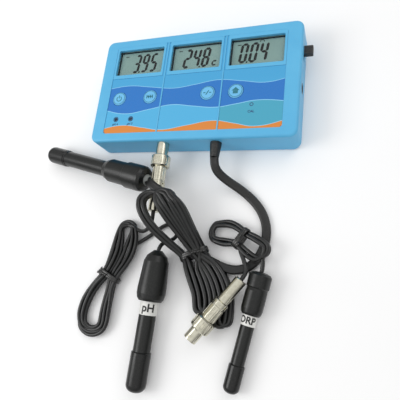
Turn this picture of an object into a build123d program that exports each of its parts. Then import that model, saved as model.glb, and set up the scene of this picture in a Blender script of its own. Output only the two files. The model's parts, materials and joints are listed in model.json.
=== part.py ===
"""Water quality monitor: a three display wall unit with conductivity, acidity and redox probes.

Millimetres. The monitor lies on its back on the table, z = 0. The origin is the centre of the
back face, +X runs to the monitor's right, +Y to its top edge and +Z out of its display face.
"""
import math
import os

from build123d import *

os.makedirs("parts", exist_ok=True)

# ---------------------------------------------------------------- driving dimensions
# case
case_width = 165.0
case_height = 93.0
case_depth = 25.0
seam_height = 8.0
wall = 2.4
case_corner = 6.0
case_edge = 2.2
lip_height = 2.0
lip_thickness = 1.2
lip_gap = 0.15
screw_inset = 7.0
screw_post = 3.5
screw_shank = 1.45
screw_head = 2.9
screw_head_height = 2.2
screw_length = 14.0
hang_spacing = 100.0
hang_head = 4.2
hang_neck = 2.1
hang_travel = 8.0

# display face
label_side_margin = 11.0
label_end_margin = 7.0
label_width = case_width - 2 * label_side_margin
label_height = case_height - 2 * label_end_margin
recess_depth = 0.8
overlay_thickness = 0.4
plate_thickness = 2.5
relief_height = 0.7
rib_width = 1.0
window_width = 41.5
window_height = 23.6
bezel_border_x = 1.75
bezel_border_y = 3.2
bezel_width = window_width + 2 * bezel_border_x
bezel_height = window_height + 2 * bezel_border_y
bezel_end_gap = 0.2
bezel_spacing = (label_width - bezel_width) / 2 - bezel_end_gap
rib_offset = bezel_spacing / 2
window_rise = 1.1
lens_thickness = 1.2
lens_margin = 1.0
cell_width = window_width + 2.5
cell_height = window_height + 3.4
cell_thickness = 2.2

# keys and calibration screws
key_row = label_height / 2 - 48.5
key_places = (
    (9.6 - label_width / 2, key_row),
    (-rib_offset - 9.9, key_row),
    (rib_offset - 10.5, key_row),
    (rib_offset + 11.4, key_row),
)
key_radius = 5.75
key_gap = 0.3
key_rise = 0.7
key_flange = key_radius + 1.25
key_flange_thickness = 1.3
key_stem = 1.5
key_travel = 0.5
trimmer_row = 12.2 - label_height / 2
trimmer_places = ((9.6 - label_width / 2, trimmer_row), (22.9 - label_width / 2, trimmer_row))
trimmer_radius = 1.3
trimmer_hole = trimmer_radius + 0.3
trimmer_body = 6.6

# circuit board
board_width = case_width - 25.0
board_low = 15.5 - case_height / 2
board_high = case_height / 2 - 8.5
board_thickness = 1.6
board_top = 14.6
board_post_x = label_width / 2 - 5.0
board_post_y = label_height / 2 - 6.5
board_posts = (
    (-rib_offset, board_post_y),
    (rib_offset, board_post_y),
    (-board_post_x, -20.0),
    (board_post_x, -20.0),
)
board_post_radius = 2.0

# right hand wall
switch_y = 23.5
switch_z = 14.6
switch_travel = 5.0
knob_length = 6.5
knob_height = 4.5
knob_reach = 6.5
supply_y = -5.0
supply_body = 8.6
supply_bore = 2.8
supply_pin = 1.0

# bottom wall: bayonet jack and cable entry
jack_x = -20.2
jack_z = 17.6
jack_radius = 4.8
jack_bore = 4.1
jack_reach = 17.0
lug_radius = jack_radius + 0.7
lug_size = 2.0
lug_back = 2.5
gland_x = 22.4
gland_z = 17.0
gland_flange = 4.6
gland_neck = 3.5
gland_length = 11.5
gland_radius = 4.3
gland_tip = 3.3

# cable plugs (lengths run back from the nut's front face)
nut_radius = lug_radius + 1.75
nut_length = 9.0
nut_lip = 1.5
nut_wall = 1.2
running_gap = 0.1
barrel_radius = 5.2
neck_radius = barrel_radius - 0.55
barrel_length = 11.0
ring_radius = barrel_radius + 0.4
ring_length = 4.5
tail_radius = 4.3
tail_length = 19.0
cord_seat = 2.0
flute_count = 12
knurl_count = 24
coupler_reach = 9.0

# cords
flat_cord = 3.4
round_cord = 3.0
floor_gap = 0.1

# the leads' places were set out from a bottom wall at this y, and they move with that wall
setting_out_y = -46.5


# ---------------------------------------------------------------- helpers
def save(node, *solids):
    """Write one node, as one solid or as a group of separate solids."""
    shape = solids[0] if len(solids) == 1 else Compound(children=list(solids))
    export_step(shape, f"parts/{node}.step")


def block(x0, x1, y0, y1, z0, z1):
    """A plain box between two corners."""
    return Pos((x0 + x1) / 2, (y0 + y1) / 2, (z0 + z1) / 2) * Box(x1 - x0, y1 - y0, z1 - z0)


def post(x, y, z0, z1, radius):
    """An upright cylinder."""
    return Pos(x, y, (z0 + z1) / 2) * Cylinder(radius, z1 - z0)


def rounded_block(width, height, z0, z1, corner):
    """A box about the z axis with rounded upright edges."""
    return Pos(0, 0, z0) * extrude(RectangleRounded(width, height, corner), amount=z1 - z0)


def turned(points):
    """A solid of revolution about z from (radius, station) points, closed on the axis."""
    corners = [(r, 0, s) for r, s in points]
    outline = Polyline(*corners, close=True)
    return revolve(make_face(outline), axis=Axis.Z)


def ring(outer, inner, s0, s1):
    """A plain ring about z."""
    return turned([(inner, s0), (outer, s0), (outer, s1), (inner, s1)])


def rod(radius, s0, s1):
    """A plain round bar about z."""
    return turned([(0, s0), (radius, s0), (radius, s1), (0, s1)])


def tube_along(name, points, diameter):
    """A round cord along straight runs joined by arcs as large as the runs allow."""
    route = [Vector(*p) for p in points]
    runs = [(b - a).length for a, b in zip(route, route[1:])]
    radii = []
    for i in range(1, len(route) - 1):
        turn = math.radians((route[i] - route[i - 1]).get_angle(route[i + 1] - route[i]))
        radii.append(0.45 * min(runs[i - 1], runs[i]) / math.tan(turn / 2))
    path = FilletPolyline(*route, radius=radii) if radii else Line(*route)
    start = Plane(origin=route[0], z_dir=route[1] - route[0])
    solid = sweep(start * Circle(diameter / 2), path=path)
    expected = math.pi * diameter**2 / 4 * path.length
    radii_text = " ".join(f"{r:.1f}" for r in radii)
    print(f"{name}: {path.length:.1f} long, volume {solid.volume:.1f} of {expected:.1f}")
    print(f"  radii {radii_text}")
    return solid


# ---------------------------------------------------------------- shared levels of the case
half_width = case_width / 2
half_height = case_height / 2
inner_width = case_width - 2 * wall
inner_height = case_height - 2 * wall
inner_case_corner = case_corner - wall
recess_floor = case_depth - recess_depth
plate_under = recess_floor - plate_thickness
relief_top = recess_floor + relief_height
lens_top = plate_under + window_rise
lens_under = lens_top - lens_thickness
cell_under = lens_under - cell_thickness
wall_inside_x = half_width - wall
wall_inside_y = half_height - wall
label_top = label_height / 2
bezel_y = label_top - bezel_height / 2
bezel_places = (-bezel_spacing, 0.0, bezel_spacing)
screw_x = half_width - screw_inset
screw_y = half_height - screw_inset
screw_places = [(-screw_x, -screw_y), (-screw_x, screw_y), (screw_x, -screw_y), (screw_x, screw_y)]
board_under = board_top - board_thickness
lead_shift = -half_height - setting_out_y
board_pilot = 0.9


# ---------------------------------------------------------------- case
def make_rear_shell():
    """Shallow back shell with a locating lip, four screw posts and two hanging keyholes."""
    shell = rounded_block(case_width, case_height, 0, seam_height, case_corner)
    shell = fillet(shell.faces().sort_by(Axis.Z)[0].edges(), case_edge)
    shell -= rounded_block(inner_width, inner_height, wall, seam_height, inner_case_corner)
    lip_width = inner_width - 2 * lip_gap
    lip_depth = inner_height - 2 * lip_gap
    lip_corner = inner_case_corner - lip_gap
    lip_top = seam_height + lip_height
    lip = rounded_block(lip_width, lip_depth, wall, lip_top, lip_corner)
    room_width = lip_width - 2 * lip_thickness
    room_depth = lip_depth - 2 * lip_thickness
    lip -= rounded_block(room_width, room_depth, wall, lip_top, lip_corner - lip_thickness)
    shell += lip
    post_room = screw_post + 0.3
    shell -= [post(x, y, seam_height, lip_top, post_room) for x, y in screw_places]
    shell += [post(x, y, wall / 2, seam_height, screw_post) for x, y in screw_places]
    shell -= [post(x, y, 0, seam_height, screw_shank + 0.15) for x, y in screw_places]
    head_room = screw_head + 0.3
    shell -= [post(x, y, 0, screw_head_height + 0.8, head_room) for x, y in screw_places]
    for side in (-1, 1):
        x = side * hang_spacing / 2
        shell -= post(x, 0, 0, wall, hang_head)
        shell -= block(x - hang_neck, x + hang_neck, 0, hang_travel, 0, wall)
        shell -= post(x, hang_travel, 0, wall, hang_neck)
    return shell


def make_front_shell():
    """Face shell: recessed label area, display bezels, ribs, key holes and wall openings."""
    shell = rounded_block(case_width, case_height, seam_height, case_depth, case_corner)
    shell = fillet(shell.faces().sort_by(Axis.Z)[-1].edges(), case_edge)
    shell -= rounded_block(inner_width, inner_height, seam_height, plate_under, inner_case_corner)
    shell -= rounded_block(label_width, label_height, recess_floor, case_depth, 2.0)
    for x in (-rib_offset, rib_offset):
        rib_edge = x + rib_width / 2
        shell += block(x - rib_width / 2, rib_edge, -label_top, label_top, recess_floor, relief_top)
    for x in bezel_places:
        left, right = x - bezel_width / 2, x + bezel_width / 2
        shell += block(left, right, label_top - bezel_height, label_top, recess_floor, relief_top)
        opening = Pos(x, bezel_y, plate_under) * extrude(
            RectangleRounded(window_width, window_height, 1.0), amount=case_depth
        )
        shell -= opening
        lens_pocket_x = window_width / 2 + lens_margin + 0.1
        lens_pocket_y = window_height / 2 + lens_margin + 0.1
        shell -= block(
            x - lens_pocket_x,
            x + lens_pocket_x,
            bezel_y - lens_pocket_y,
            bezel_y + lens_pocket_y,
            plate_under,
            lens_top,
        )
    shell -= [post(x, y, plate_under, case_depth, key_radius + key_gap) for x, y in key_places]
    shell -= [post(x, y, plate_under, case_depth, trimmer_hole) for x, y in trimmer_places]
    shell += [post(x, y, seam_height, plate_under, screw_post) for x, y in screw_places]
    shell -= [post(x, y, seam_height, screw_length + 3.0, screw_shank + 0.05) for x, y in screw_places]
    shell += [post(x, y, board_top, plate_under, board_post_radius) for x, y in board_posts]
    shell -= [post(x, y, board_top, board_top + 5.0, board_pilot) for x, y in board_posts]
    jack_hole = rod(jack_radius + 0.1, -1, 4)
    gland_hole = rod(gland_neck + 0.1, -1, 4)
    shell -= Plane(origin=(jack_x, -half_height, jack_z), z_dir=(0, 1, 0)).location * jack_hole
    shell -= Plane(origin=(gland_x, -half_height, gland_z), z_dir=(0, 1, 0)).location * gland_hole
    slot = knob_length / 2 + 0.25
    shell -= block(
        wall_inside_x - 0.5,
        half_width + 0.5,
        switch_y - switch_travel / 2 - slot,
        switch_y + switch_travel / 2 + slot,
        switch_z - knob_height / 2 - 0.25,
        switch_z + knob_height / 2 + 0.25,
    )
    supply_hole = Plane(origin=(half_width, supply_y, switch_z), z_dir=(-1, 0, 0)).location * rod(
        supply_body / 2 - 0.1, -1, 4
    )
    return shell - supply_hole


def make_face_labels():
    """Three printed overlay sheets between the ribs, cut round the bezels, keys and screws."""
    edges = (-label_width / 2, -rib_offset, rib_offset, label_width / 2)
    sheets = []
    for index, x in enumerate(bezel_places):
        left = edges[index] + (0.1 if index == 0 else rib_width / 2 + 0.1)
        right = edges[index + 1] - (0.1 if index == 2 else rib_width / 2 + 0.1)
        low = -label_top + 0.1
        sheet = block(left, right, low, label_top - 0.1, recess_floor, recess_floor + overlay_thickness)
        for corner_x, corner_y in ((-label_width / 2, low), (label_width / 2, low)):
            sheet -= block(corner_x - 1.2, corner_x + 1.2, corner_y - 1.2, corner_y + 1.2, 0, case_depth)
        sheet -= block(
            x - bezel_width / 2 - 0.1,
            x + bezel_width / 2 + 0.1,
            label_top - bezel_height - 0.1,
            label_top + 1,
            0,
            case_depth,
        )
        sheet -= [post(kx, ky, 0, case_depth, key_radius + key_gap) for kx, ky in key_places]
        sheet -= [post(tx, ty, 0, case_depth, trimmer_hole) for tx, ty in trimmer_places]
        sheets.append(max(sheet.solids(), key=lambda s: s.volume))
    return sheets


save("rear_shell", make_rear_shell())
save("front_shell", make_front_shell())
save("face_labels", *make_face_labels())


# ---------------------------------------------------------------- displays and electronics
def at_each(places, solid):
    """A copy of one solid at each (x, y) place."""
    return [Pos(x, y, 0) * solid for x, y in places]


display_places = [(x, bezel_y) for x in bezel_places]
lens_x = window_width / 2 + lens_margin
lens_y = window_height / 2 + lens_margin
window = block(-lens_x, lens_x, -lens_y, lens_y, lens_under, lens_top)
save("display_windows", *at_each(display_places, window))
cell = block(-cell_width / 2, cell_width / 2, -cell_height / 2, cell_height / 2, cell_under, lens_under)
save("display_cells", *at_each(display_places, cell))
strip_half = cell_width / 2 - 2.0
strip_row = cell_height / 2 - 1.6
strip_places = [(x, y + side * strip_row) for x, y in display_places for side in (-1, 1)]
strip = block(-strip_half, strip_half, -1.0, 1.0, board_top, cell_under)
save("zebra_strips", *at_each(strip_places, strip))

board = block(-board_width / 2, board_width / 2, board_low, board_high, board_under, board_top)
board -= [post(x, y, 0, case_depth, board_pilot + 0.3) for x, y in board_posts]
save("main_board", board)

board_screw = post(0, 0, board_under - 1.4, board_under, 1.9)
board_screw += post(0, 0, board_under, board_top + 4.0, board_pilot - 0.05)
save("board_screws", *at_each(board_posts, board_screw))

case_screw_low = 0.8
case_screw = post(0, 0, case_screw_low, case_screw_low + screw_head_height, screw_head)
case_screw += post(0, 0, case_screw_low + screw_head_height, case_screw_low + screw_length, screw_shank)
case_screw -= block(-1.8, 1.8, -0.3, 0.3, 0, case_screw_low + 1.0)
case_screw -= block(-0.3, 0.3, -1.8, 1.8, 0, case_screw_low + 1.0)
save("case_screws", *at_each(screw_places, case_screw))

chips = [
    block(-48.0, -34.0, 14.0, 28.0, board_under - 1.6, board_under),
    block(38.0, 52.0, 14.0, 28.0, board_under - 1.6, board_under),
    block(-8.0, 8.0, -2.0, 12.0, board_under - 1.6, board_under),
    post(20.0, -24.0, board_top, board_top + 6.0, 3.2),
    post(-30.0, -25.0, board_top, board_top + 6.0, 2.5),
    block(44.0, 54.0, -29.0, -22.0, board_top, board_top + 4.5),
]
save("board_components", *chips)

key_top = recess_floor + overlay_thickness + key_rise
key_flange_top = plate_under - key_gap
key_flange_low = key_flange_top - key_flange_thickness
switch_top = board_top + 3.5
key_well = 1.8
key_foot = switch_top - key_well + key_travel + 0.4
dome = 0.5
key = turned(
    [
        (0, key_foot),
        (key_stem, key_foot),
        (key_stem, key_flange_low),
        (key_flange, key_flange_low),
        (key_flange, key_flange_top),
        (key_radius, key_flange_top),
        (key_radius, key_top - dome),
        (key_radius - dome, key_top),
        (0, key_top),
    ]
)
for index, (x, y) in enumerate(key_places):
    save(f"key_{index + 1}", Pos(x, y, 0) * key)
button_switch = block(-3.0, 3.0, -3.0, 3.0, board_top, switch_top)
button_switch -= post(0, 0, switch_top - key_well, switch_top + 1, key_stem + key_gap)
save("button_switches", *at_each(key_places, button_switch))

trimmer_top = recess_floor
trimmer_foot = board_top + 2.0
trimmer_case_top = board_top + 4.6
trimmer_case = block(
    -trimmer_body / 2, trimmer_body / 2, -trimmer_body / 2, trimmer_body / 2, board_top, trimmer_case_top
)
trimmer_case -= post(0, 0, trimmer_foot - 0.2, trimmer_case_top + 1, trimmer_radius + 0.08)
save("trimmer_bodies", *at_each(trimmer_places, trimmer_case))
trimmer_screw = post(0, 0, trimmer_foot, trimmer_top, trimmer_radius)
trimmer_screw -= block(-trimmer_radius, trimmer_radius, -0.25, 0.25, trimmer_top - 0.8, trimmer_top + 1)
for name, (x, y) in zip(("trimmer_left", "trimmer_right"), trimmer_places):
    save(name, Pos(x, y, 0) * trimmer_screw)

# ---------------------------------------------------------------- right hand wall
switch_back = wall_inside_x - 8.0
channel_back = switch_back + 2.0
channel_y = switch_travel / 2 + knob_length / 2 + 0.25
channel_z = knob_height / 2 + 0.25
switch_body = block(
    switch_back,
    wall_inside_x,
    switch_y - channel_y - 1.6,
    switch_y + channel_y + 1.6,
    switch_z - channel_z - 1.2,
    switch_z + channel_z + 1.2,
)
switch_body -= block(
    channel_back,
    wall_inside_x + 1,
    switch_y - channel_y,
    switch_y + channel_y,
    switch_z - channel_z,
    switch_z + channel_z,
)
save("switch_body", switch_body)

knob_y = switch_y + switch_travel / 2
knob = block(
    channel_back + 0.5,
    half_width + knob_reach,
    knob_y - knob_length / 2,
    knob_y + knob_length / 2,
    switch_z - knob_height / 2,
    switch_z + knob_height / 2,
)
knob = fillet(knob.faces().sort_by(Axis.X)[-1].edges(), 0.6)
save("switch_knob", knob)

supply_plane = Plane(origin=(half_width, supply_y, switch_z), z_dir=(-1, 0, 0))
supply_depth = 12.0
supply = rod(supply_body / 2 - 0.2, 0, wall)
supply += Pos(0, 0, wall + (supply_depth - wall) / 2) * Box(supply_body, supply_body, supply_depth - wall)
supply -= rod(supply_bore, -1, supply_depth - 2)
supply += rod(supply_pin, 1.5, supply_depth - 1)
save("power_jack", supply_plane.location * supply)

# ---------------------------------------------------------------- bayonet jack, plugs and coupler
plug_overlap = 6.5
jack_stand = jack_reach - plug_overlap
barrel_start = nut_length + 0.2
ring_start = barrel_start + barrel_length
tail_start = ring_start + ring_length
tail_end = tail_start + tail_length
collar_radius = lug_radius
contact_outer = jack_bore - 0.15
contact_inner = 2.6
contact_front = -4.0
insulator_radius = 2.2
pin_radius = 0.7
cord_bore = round_cord / 2 + 0.1


def lug_pair(centre):
    """Two round bayonet lugs that cross the barrel at one station, along local x."""
    lug = Pos(0, 0, centre) * Rot(0, 90, 0) * Cylinder(lug_size / 2, 2 * lug_radius)
    return lug - rod(jack_bore + 0.2, centre - 3, centre + 3)


def make_plug_nut():
    """Knurled bayonet coupling nut, open inside so that it turns a quarter turn over the lugs."""
    cavity = lug_radius + 0.25
    nut = turned(
        [
            (jack_radius + 0.15, 0),
            (nut_radius - 0.6, 0),
            (nut_radius, 0.6),
            (nut_radius, nut_length - 0.8),
            (nut_radius - 0.8, nut_length),
            (neck_radius + running_gap, nut_length),
            (neck_radius + running_gap, nut_length - nut_wall),
            (cavity, nut_length - nut_wall),
            (cavity, nut_lip),
            (jack_radius + 0.15, nut_lip),
        ]
    )
    nut -= block(-lug_size / 2 - 0.3, lug_size / 2 + 0.3, -cavity, cavity, -1, nut_lip)
    groove = Pos(nut_radius + 0.15, 0, nut_length * 0.55) * Cylinder(0.4, nut_length * 0.55)
    return nut - [Rot(0, 0, 360 / knurl_count * i) * groove for i in range(knurl_count)]


def make_plug_body():
    """Plug body: contact tube, captive collar, fluted barrel with its slot, and a drilled ring."""
    body = turned(
        [
            (contact_inner, contact_front),
            (contact_outer, contact_front),
            (contact_outer, plug_overlap + 0.3),
            (collar_radius, plug_overlap + 0.3),
            (collar_radius, nut_length - nut_wall - 0.2),
            (neck_radius, nut_length - nut_wall - 0.2),
            (neck_radius, barrel_start),
            (barrel_radius, barrel_start),
            (barrel_radius, ring_start),
            (ring_radius, ring_start + 0.4),
            (ring_radius, tail_start - 0.5),
            (tail_radius, tail_start),
            (pin_radius + 0.05, tail_start),
            (pin_radius + 0.05, plug_overlap + 1),
            (contact_inner, plug_overlap + 1),
        ]
    )
    flute_centre = barrel_start + barrel_length / 2
    flute = Pos(barrel_radius + 0.25, 0, flute_centre) * Cylinder(0.6, barrel_length - 2.0)
    body -= [Rot(0, 0, 360 / flute_count * i) * flute for i in range(1, flute_count)]
    slot_floor = barrel_radius - 1.1
    body -= block(slot_floor, barrel_radius + 1, -1.2, 1.2, barrel_start + 0.8, ring_start - 0.6)
    drill = Pos(ring_radius, 0, ring_start + ring_length / 2) * Rot(0, 90, 0) * Cylinder(0.75, 1.8)
    return body - [Rot(0, 0, 45 * i) * drill for i in range(8)]


def make_plug_tail():
    """Crimped metal sleeve on the cord, with a shallow seat for the cord in its end."""
    tail = rod(tail_radius, tail_start, tail_end)
    tail = chamfer(tail.faces().sort_by(Axis.Z)[-1].edges(), 0.5)
    tail -= rod(cord_bore, tail_end - cord_seat, tail_end + 1)
    tail -= block(tail_radius - 0.35, tail_radius + 1, -0.5, 0.5, tail_start + 1.5, tail_end - 1.5)
    return tail


def make_coupler():
    """Short double jack: two barrels back to back, each with its pair of lugs."""
    shell = ring(jack_radius, jack_bore, -coupler_reach, plug_overlap)
    shell += lug_pair(plug_overlap - lug_back) + lug_pair(-coupler_reach + lug_back)
    return shell + ring(jack_bore + 0.2, insulator_radius + 0.1, -coupler_reach / 2, contact_front - 0.2)


plug_frame = Plane(origin=(jack_x, -half_height - jack_stand, jack_z), x_dir=(-1, 0, 0), z_dir=(0, -1, 0))
free_tip = Vector(18.0, -186.4 + lead_shift, 12.9)
free_way = Vector(0.6, 0.8, 0).normalized()
free_frame = Plane(origin=free_tip + free_way * coupler_reach, x_dir=(0, 0, 1), z_dir=free_way)
nut, body, tail = make_plug_nut(), make_plug_body(), make_plug_tail()
pin = rod(pin_radius, contact_front + 0.5, tail_start - 1)
pin = chamfer(pin.faces().sort_by(Axis.Z)[0].edges(), 0.3)
for name, frame, lock, spin in (("ph", plug_frame, 90, -25), ("orp", free_frame, 0, -28)):
    save(f"{name}_plug_nut", frame.location * Rot(0, 0, lock) * nut)
    save(f"{name}_plug_body", frame.location * Rot(0, 0, spin) * body)
    save(f"{name}_plug_tail", frame.location * Rot(0, 0, spin) * tail)
save("plug_pins", plug_frame.location * pin, free_frame.location * pin)

jack_frame = Plane(origin=(jack_x, -half_height, jack_z), x_dir=(-1, 0, 0), z_dir=(0, -1, 0))
jack_flange = wall + 1.6
jack_flange_radius = jack_radius + 1.6
jack_terminal_radius = 3.4
jack_terminal = -10.5
jack_floor = -2.0
jack = turned(
    [
        (0, jack_terminal),
        (jack_terminal_radius, jack_terminal),
        (jack_terminal_radius, -jack_flange),
        (jack_flange_radius, -jack_flange),
        (jack_flange_radius, -wall),
        (jack_radius, -wall),
        (jack_radius, jack_reach),
        (jack_bore, jack_reach),
        (jack_bore, jack_floor),
        (0, jack_floor),
    ]
)
jack += Rot(0, 0, 90) * lug_pair(jack_reach - lug_back)
plate_side = plate_under - 0.1 - jack_z
jack -= block(-8, 8, -plate_side - 4, -plate_side, -jack_flange, -wall)
save("bayonet_jack", jack_frame.location * jack)
insulator = turned(
    [
        (0, jack_floor),
        (jack_bore - 0.02, jack_floor),
        (jack_bore - 0.02, 2.0),
        (insulator_radius, 2.0),
        (insulator_radius, jack_reach - 3.0),
        (pin_radius + 0.1, jack_reach - 3.0),
        (pin_radius + 0.1, 5.0),
        (0, 5.0),
    ]
)
coupler_core = ring(insulator_radius, pin_radius + 0.1, -coupler_reach + 2.0, plug_overlap - 2.5)
save("jack_insulators", jack_frame.location * insulator, free_frame.location * coupler_core)
save("orp_coupler", free_frame.location * make_coupler())

gland_frame = Plane(origin=(gland_x, -half_height, gland_z), z_dir=(0, -1, 0))
gland = turned(
    [
        (flat_cord / 2 + 0.1, -wall - 1.8),
        (gland_flange, -wall - 1.8),
        (gland_flange, -wall),
        (gland_neck, -wall),
        (gland_neck, 0),
        (gland_radius, 0),
        (gland_radius, 2.5),
        (gland_tip, gland_length),
        (flat_cord / 2 + 0.1, gland_length),
    ]
)
save("cable_gland", gland_frame.location * gland)


# ---------------------------------------------------------------- probes
def lay_down(tail, tip, tail_radius_at, tip_radius_at, clearance=0.06):
    """A frame along a stepped probe that rests on the table on its two (station, radius) rings."""
    span = math.dist(tail, tip)
    (s0, r0), (s1, r1) = tail_radius_at, tip_radius_at
    slope = (r0 - r1) / (s1 - s0)
    rise = r0 / math.cos(slope) + s0 * slope + clearance
    start = Vector(tail[0], tail[1] + lead_shift, rise)
    end = Vector(tip[0], tip[1] + lead_shift, rise - span * slope)
    return Plane(origin=start, z_dir=end - start)


def make_cap(radius, bore, start, end, floor):
    """Push-on protective cap with a rounded nose."""
    cap = rod(radius, start, end)
    cap = fillet(cap.faces().sort_by(Axis.Z)[-1].edges(), radius * 0.72)
    cap = chamfer(cap.faces().sort_by(Axis.Z)[0].edges(), 0.4)
    return cap - rod(bore, start - 1, floor)


cap_fit = 0.08

# conductivity probe: its nose rests on the table and its stiff cord, over the plug, holds its tail up
ec_collar_radius = 10.2
ec_collar_length = 18.5
ec_handle_radius = 9.15
ec_handle_end = 41.0
ec_shaft_radius = 6.35
ec_shaft_end = 86.5
ec_spigot = ec_shaft_radius - 1.35
ec_spigot_end = ec_shaft_end + 9.0
ec_cap_radius = ec_shaft_radius + 0.75
ec_tail = Vector(-28.3, -76.8 + lead_shift, 20.0)
ec_nose = Vector(-133.1, -48.9 + lead_shift, ec_cap_radius - 0.45)
ec_length = (ec_nose - ec_tail).length
ec_frame = Plane(origin=ec_tail, z_dir=ec_nose - ec_tail)

collar = turned(
    [
        (0, 0),
        (5.2, 0),
        (8.4, 1.0),
        (9.8, 3.0),
        (ec_collar_radius, 6.0),
        (ec_collar_radius, ec_collar_length - 0.5),
        (ec_collar_radius - 0.5, ec_collar_length),
        (8.0, ec_collar_length),
        (8.0, 6.0),
        (0, 6.0),
    ]
)
collar -= rod(flat_cord / 2 + 0.1, -1, 3.0)
save("ec_collar", ec_frame.location * collar)
ec_handle = turned(
    [
        (0, 6.2),
        (7.9, 6.2),
        (7.9, ec_collar_length),
        (ec_handle_radius, ec_collar_length),
        (ec_handle_radius, ec_handle_end - 5.0),
        (ec_shaft_radius + 1.4, ec_handle_end - 1.2),
        (ec_shaft_radius + 0.9, ec_handle_end),
        (0, ec_handle_end),
    ]
)
ec_socket, ec_socket_floor = 4.6, 30.0
ec_handle -= rod(ec_socket, ec_socket_floor, ec_handle_end + 1)
save("ec_handle", ec_frame.location * ec_handle)
ec_shaft = rod(ec_socket - 0.1, ec_socket_floor + 0.2, ec_handle_end)
ec_shaft += rod(ec_shaft_radius, ec_handle_end, ec_shaft_end)
ec_shaft += rod(ec_spigot, ec_shaft_end, ec_spigot_end)
save("ec_shaft", ec_frame.location * ec_shaft)
seal = turned(
    [
        (ec_spigot + 0.02, ec_shaft_end + 0.1),
        (ec_cap_radius - 0.6, ec_shaft_end + 0.1),
        (ec_cap_radius - 0.2, ec_shaft_end + 0.4),
        (ec_cap_radius - 0.2, ec_shaft_end + 1.0),
        (ec_cap_radius - 0.6, ec_shaft_end + 1.3),
        (ec_spigot + 0.02, ec_shaft_end + 1.3),
    ]
)
save("ec_seal", ec_frame.location * seal)
electrode = rod(0.9, ec_spigot_end, ec_spigot_end + 5.0)
save("ec_electrodes", *[ec_frame.location * (Pos(0, side * 2.2, 0) * electrode) for side in (-1, 1)])
ec_cap_start = ec_shaft_end + 1.6
save(
    "ec_cap",
    ec_frame.location
    * make_cap(ec_cap_radius, ec_spigot + cap_fit, ec_cap_start, ec_length, ec_spigot_end + 8.0),
)


def bulb_handle(radius, end):
    """A soft handle that swells from the cord to its full radius, as (radius, station) points."""
    return [
        (0, 0),
        (radius * 0.30, 0),
        (radius * 0.72, end * 0.11),
        (radius * 0.88, end * 0.23),
        (radius, end * 0.74),
        (radius, end * 0.86),
        (radius * 0.93, end * 0.95),
        (radius * 0.80, end),
        (0, end),
    ]


def collared_handle(radius, end):
    """A straight handle with a wider collar at its cord end, as (radius, station) points."""
    collar = radius * 1.06
    return [
        (0, 0),
        (radius * 0.45, 0),
        (radius * 0.88, end * 0.03),
        (collar, end * 0.08),
        (collar, end * 0.36),
        (radius * 0.96, end * 0.39),
        (radius, end * 0.45),
        (radius, end * 0.86),
        (radius * 0.93, end * 0.95),
        (radius * 0.80, end),
        (0, end),
    ]


def save_slim_probe(name, tail, tip, handle_outline, sizes):
    """Acidity and redox probes: handle, label sleeve, shaft, sensing tip and cap.

    sizes: handle and shaft radii, the cap's step over the shaft, then the ends of the handle,
    label, shaft and spigot.
    """
    handle_radius, shaft_radius, cap_step, handle_end, label_end, shaft_end, spigot_end = sizes
    cap_radius = shaft_radius + cap_step
    length = math.dist(tail, tip)
    frame = lay_down(tail, tip, (handle_end * 0.85, handle_radius), (length - 5.5, cap_radius))
    handle = turned(handle_outline(handle_radius, handle_end))
    socket = shaft_radius - 0.6
    handle -= rod(cord_bore, -1, 2.5)
    handle -= rod(socket + 0.1, handle_end * 0.68, handle_end + 1)
    save(f"{name}_handle", frame.location * handle)
    spigot = shaft_radius - 0.65
    shaft = rod(socket, handle_end * 0.68 + 0.2, handle_end) + rod(shaft_radius, handle_end, shaft_end)
    shaft += rod(spigot, shaft_end, spigot_end)
    save(f"{name}_shaft", frame.location * shaft)
    label = ring(shaft_radius + 0.35, shaft_radius + 0.02, handle_end + 0.1, label_end)
    save(f"{name}_label", frame.location * label)
    bulb_radius = spigot * 0.7
    bulb = Pos(0, 0, spigot_end + bulb_radius * 0.8) * Sphere(bulb_radius)
    bulb -= rod(spigot, spigot_end - bulb_radius, spigot_end)
    save(f"{name}_sensor", frame.location * bulb)
    floor = spigot_end + bulb_radius * 1.8 + 3.4
    cap = make_cap(cap_radius, spigot + cap_fit, shaft_end + 0.3, length, floor)
    save(f"{name}_cap", frame.location * cap)
    return frame


ph_tail, ph_tip = (-14.3, -128.6), (-19.8, -226.4)
ph_sizes = (10.4, 6.2, 0.9, 36.3, 45.8, 71.0, 83.0)
ph_frame = save_slim_probe("ph", ph_tail, ph_tip, bulb_handle, ph_sizes)
orp_tail, orp_tip = (62.0, -137.8), (46.6, -216.1)
orp_sizes = (7.4, 4.65, 0.75, 29.0, 36.0, 61.5, 69.0)
orp_frame = save_slim_probe("orp", orp_tail, orp_tip, collared_handle, orp_sizes)


# ---------------------------------------------------------------- cords, hanks and ties
def hank_section(x, y, heading, width, low, high, grow=0.0):
    """An eight sided upright outline across a hank that runs along the heading, in degrees."""
    across = Vector(math.sin(math.radians(heading)), -math.cos(math.radians(heading)), 0)
    half = width / 2 + grow
    low, high = low - grow, high + grow
    cut = 0.3 * (high - low)
    outline = (
        (half - cut, low),
        (half, low + cut),
        (half, high - cut),
        (half - cut, high),
        (cut - half, high),
        (-half, high - cut),
        (-half, low + cut),
        (cut - half, low),
    )
    corners = [Vector(x, y + lead_shift, z) + across * a for a, z in outline]
    return make_face(Polyline(*corners, close=True))


def make_hank(sections):
    """The outer shape of a tied hank, from one end to the other."""
    return loft([hank_section(*section) for section in sections], ruled=True)


def make_tie(first, last):
    """A band round a hank's waist, a little clear of it."""
    gap, thickness = 0.3, 1.0
    band = loft([hank_section(*first, gap + thickness), hank_section(*last, gap + thickness)], ruled=True)
    return band - loft([hank_section(*first, gap), hank_section(*last, gap)], ruled=True)


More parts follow.
